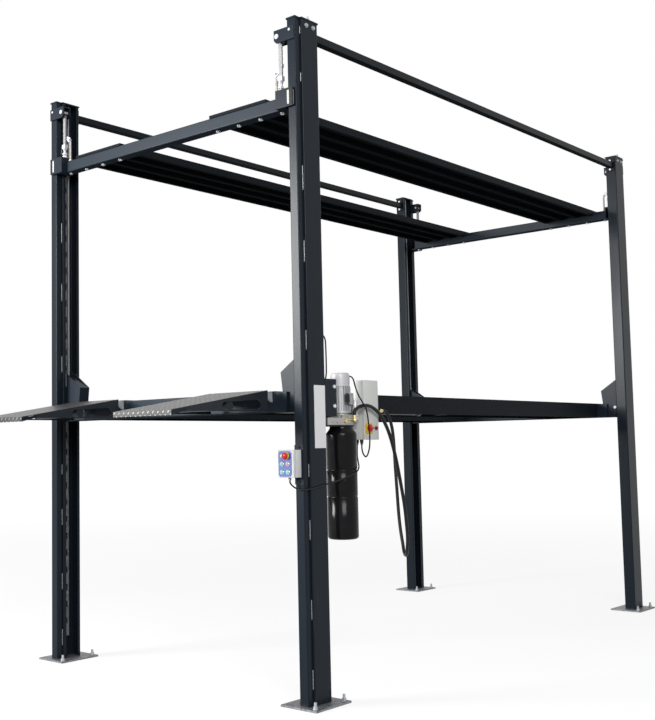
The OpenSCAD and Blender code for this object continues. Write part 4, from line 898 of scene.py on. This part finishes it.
# Silver can: turned in at the foot, rolled rim at the top, on a folded clip
bm = bmesh.new()
can = [(0, 1.6402), (0.016, 1.6402), (0.0178, 1.642), (0.0178, 1.726), (0.0172, 1.729), (0.0178, 1.732), (0.0178, 1.735),
       (0.0166, 1.7375), (0.0125, 1.7378), (0.0120, 1.7400), (0.0105, 1.7418), (0, 1.7418)]
add_turned(bm, can, (1.165, -1.443, 0), steps=48)
made = bmesh.ops.create_cube(bm, size=1)["verts"]
bmesh.ops.scale(bm, vec=(0.0318, 0.0365, 0.0195), verts=made)
bmesh.ops.translate(bm, vec=(1.165, -1.4475, 1.6300), verts=made)
bmesh.ops.bevel(bm, geom=list({e for v in made for e in v.link_edges}), affect="EDGES", offset=0.002,
                segments=2, profile=0.5, material=-1)
can_piece = new_piece("silver_can_body", bm, "frame", "zinc_hardware", can_silver)
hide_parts("capacitor")


# Switch cabinet and button box
# Powder-coated steel cabinet with a flat door, and a moulded push-button box with a
# blue panel. Controls are glossy moulded plastic.

cabinet_grey = glossy("light grey powder coat", (0.58, 0.59, 0.57), (0.68, 0.69, 0.67), (0.42, 0.56), grain_size=700, bump=0.0004)
box_grey = glossy("light grey moulding", (0.54, 0.55, 0.55), (0.63, 0.64, 0.64), (0.40, 0.52))
panel_blue = glossy("blue panel foil", (0.030, 0.075, 0.30), (0.045, 0.105, 0.38), (0.30, 0.42))
plastic_red = glossy("red plastic", (0.50, 0.010, 0.012), (0.64, 0.018, 0.020), (0.20, 0.32), shine=0.25)
cap_red = glossy("pale red cap", (0.62, 0.20, 0.17), (0.74, 0.30, 0.26), (0.20, 0.32), shine=0.25)
cap_green = glossy("pale green cap", (0.12, 0.48, 0.33), (0.22, 0.60, 0.44), (0.20, 0.32), shine=0.25)
plastic_yellow = glossy("yellow plastic", (0.70, 0.46, 0.01), (0.84, 0.60, 0.02), (0.24, 0.36), shine=0.25)
plastic_black = glossy("black plastic", (0.012, 0.012, 0.013), (0.022, 0.022, 0.024), (0.34, 0.48), shine=0.3)
lens_red = glossy("dark red lens", (0.10, 0.004, 0.012), (0.18, 0.008, 0.02), (0.08, 0.16), shine=0.3)
label_white = glossy("blank white foil", (0.72, 0.72, 0.74), (0.82, 0.82, 0.83), (0.30, 0.42))
dress("cable_glands", plastic_black)
dress("blank_plate", label_white)


# Cabinet body, then its tray-shaped cover with a turned-out rain lip at the foot
bm = bmesh.new()
add_block(bm, (1.045, -1.389, 1.500), (1.1775, -1.244, 1.862), 0.002)
cabinet_piece = new_piece("switch_cabinet", bm, "frame", "cabinet_grey", cabinet_grey)
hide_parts("cabinet")
bm = bmesh.new()
add_block(bm, (1.1777, -1.3898, 1.4992), (1.1948, -1.2432, 1.8628), 0.003, 3)
add_block(bm, (1.1765, -1.3898, 1.4992), (1.1785, -1.2432, 1.8628), 0.0006)
cover_piece = new_piece("switch_cabinet_cover", bm, "frame", "cabinet_grey", cabinet_grey)
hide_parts("cabinet_cover")

# Yellow switch plate and dark red lamp with its bezel
bm = bmesh.new()
add_block(bm, (1.1952, -1.381, 1.5385), (1.2008, -1.317, 1.6015), 0.0018)
switch_plate = new_piece("switch_plate", bm, "frame", "lamp_red", plastic_yellow)
bm = bmesh.new()
add_turned(bm, [(0, 0), (0.0128, 0), (0.0128, 0.003), (0.0115, 0.0045), (0.0100, 0.0045), (0.0100, 0.008),
                (0.0085, 0.0105), (0.0050, 0.0118), (0, 0.0120)], (0, 0, 0), steps=40)
bmesh.ops.rotate(bm, cent=(0, 0, 0), matrix=Matrix.Rotation(math.radians(90), 3, "Y"), verts=bm.verts)
bmesh.ops.translate(bm, vec=(1.195, -1.274, 1.570), verts=bm.verts)
lamp_piece = new_piece("signal_lamp_lens", bm, "frame", "lamp_red", lens_red)
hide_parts("signal_lamp")

# Rotary switch: turned base with a grip bar across it
bm = bmesh.new()
add_turned(bm, [(0, 0.0064), (0.0225, 0.0064), (0.0228, 0.0080), (0.0228, 0.0140), (0.0218, 0.0158), (0, 0.0160)],
           (0, 0, 0), steps=48)
bmesh.ops.rotate(bm, cent=(0, 0, 0), matrix=Matrix.Rotation(math.radians(90), 3, "Y"), verts=bm.verts)
bmesh.ops.translate(bm, vec=(1.195, -1.349, 1.570), verts=bm.verts)
add_block(bm, (1.2095, -1.3695, 1.5645), (1.2248, -1.3285, 1.5755), 0.0025, 3)
knob_piece = new_piece("mains_switch_knob", bm, "switch", "button_red", plastic_red)
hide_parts("mains_switch")

# Push-button box with its lid joint, the blue panel let into the lid, a gland below
bm = bmesh.new()
add_block(bm, (1.0355, -1.9935, 1.2902), (1.1535, -1.9472, 1.4478), 0.003, 3)
add_block(bm, (1.0359, -2.0166, 1.2906), (1.1531, -1.9945, 1.4474), 0.003, 3)
add_turned(bm, [(0, 1.2742), (0.0070, 1.2742), (0.0085, 1.2760), (0.0085, 1.2810), (0.0090, 1.2815), (0.0090, 1.2900), (0, 1.2900)],
           (1.0945, -1.982, 0), steps=24)
box_piece = new_piece("button_box_shell", bm, "frame", "box_grey", box_grey)
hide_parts("button_box")

bm = bmesh.new()
panel = [(1.0495, 1.296), (1.1275, 1.296), (1.1395, 1.308), (1.1395, 1.430), (1.1275, 1.442), (1.0495, 1.442),
         (1.0415, 1.430), (1.0415, 1.308)]
face = bm.faces.new([bm.verts.new((x, -2.0168, z)) for x, z in panel])
made = bmesh.ops.extrude_face_region(bm, geom=[face])["geom"]
bmesh.ops.translate(bm, vec=(0, -0.0015, 0), verts=[v for v in made if isinstance(v, bmesh.types.BMVert)])
panel_piece = new_piece("button_panel_foil", bm, "frame", "panel_blue", panel_blue)
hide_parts("button_panel")

ring_silver = glossy("chromed ring", (0.62, 0.62, 0.63), (0.74, 0.74, 0.75), (0.12, 0.22), metallic=1.0)


def panel_turned(name, body, x, z, outline, slot, material, node=None):
    """Turned control on the panel's face, its axis towards the front."""
    bm = bmesh.new()
    add_turned(bm, outline, (0, 0, 0), steps=40)
    bmesh.ops.rotate(bm, cent=(0, 0, 0), matrix=Matrix.Rotation(math.radians(90), 3, "X"), verts=bm.verts)
    bmesh.ops.translate(bm, vec=(x, -2.0184, z), verts=bm.verts)
    piece = new_piece(name, bm, body, slot, material)
    if node:
        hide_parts(node)
    return piece


panel_turned("stop_collar", "frame", 1.1015, 1.414, [
    (0.0105, 0.0002), (0.0200, 0.0002), (0.0200, 0.0030), (0.0185, 0.0042), (0.0125, 0.0042), (0.0105, 0.0030),
], "lamp_red", plastic_yellow)
panel_turned("stop_mushroom", "stop", 1.1015, 1.414, [
    (0, -0.012), (0.0100, -0.012), (0.0100, 0.0095), (0.0150, 0.0100), (0.0186, 0.0125), (0.0189, 0.0165),
    (0.0175, 0.0200), (0.0140, 0.0225), (0.0080, 0.0237), (0, 0.0240),
], "button_red", plastic_red, "stop_button")
push_outline = [(0, -0.012), (0.0092, -0.012), (0.0092, 0.0052), (0.0084, 0.0066), (0.0050, 0.0070), (0, 0.0069)]
collar_outline = [(0.0098, 0.0002), (0.0138, 0.0002), (0.0138, 0.0022), (0.0126, 0.0038), (0.0108, 0.0038), (0.0098, 0.0028)]
for label, body, x, z, slot, material in (
    ("raise", "raise", 1.0685, 1.368, "button_green", cap_green),
    ("lower", "lower", 1.1115, 1.368, "button_red", cap_red),
    ("lock", "lock", 1.0685, 1.322, "button_green", cap_green),
    ("unlock", "unlock", 1.1115, 1.322, "button_green", cap_green),
):
    panel_turned(label + "_cap", body, x, z, push_outline, slot, material, "button_" + label)
    panel_turned(label + "_ring", "frame", x, z, collar_outline, "zinc_hardware", ring_silver)

# White ready lamp beside the stop button
ready_white = glossy("white lamp lens", (0.62, 0.70, 0.66), (0.76, 0.84, 0.80), (0.10, 0.20), coat=0.3)
panel_turned("ready_lamp", "frame", 1.0665, 1.414, [
    (0, 0.0002), (0.0098, 0.0002), (0.0098, 0.0022), (0.0080, 0.0040), (0.0075, 0.0062), (0.0040, 0.0078), (0, 0.0080),
], "plate_white", ready_white)
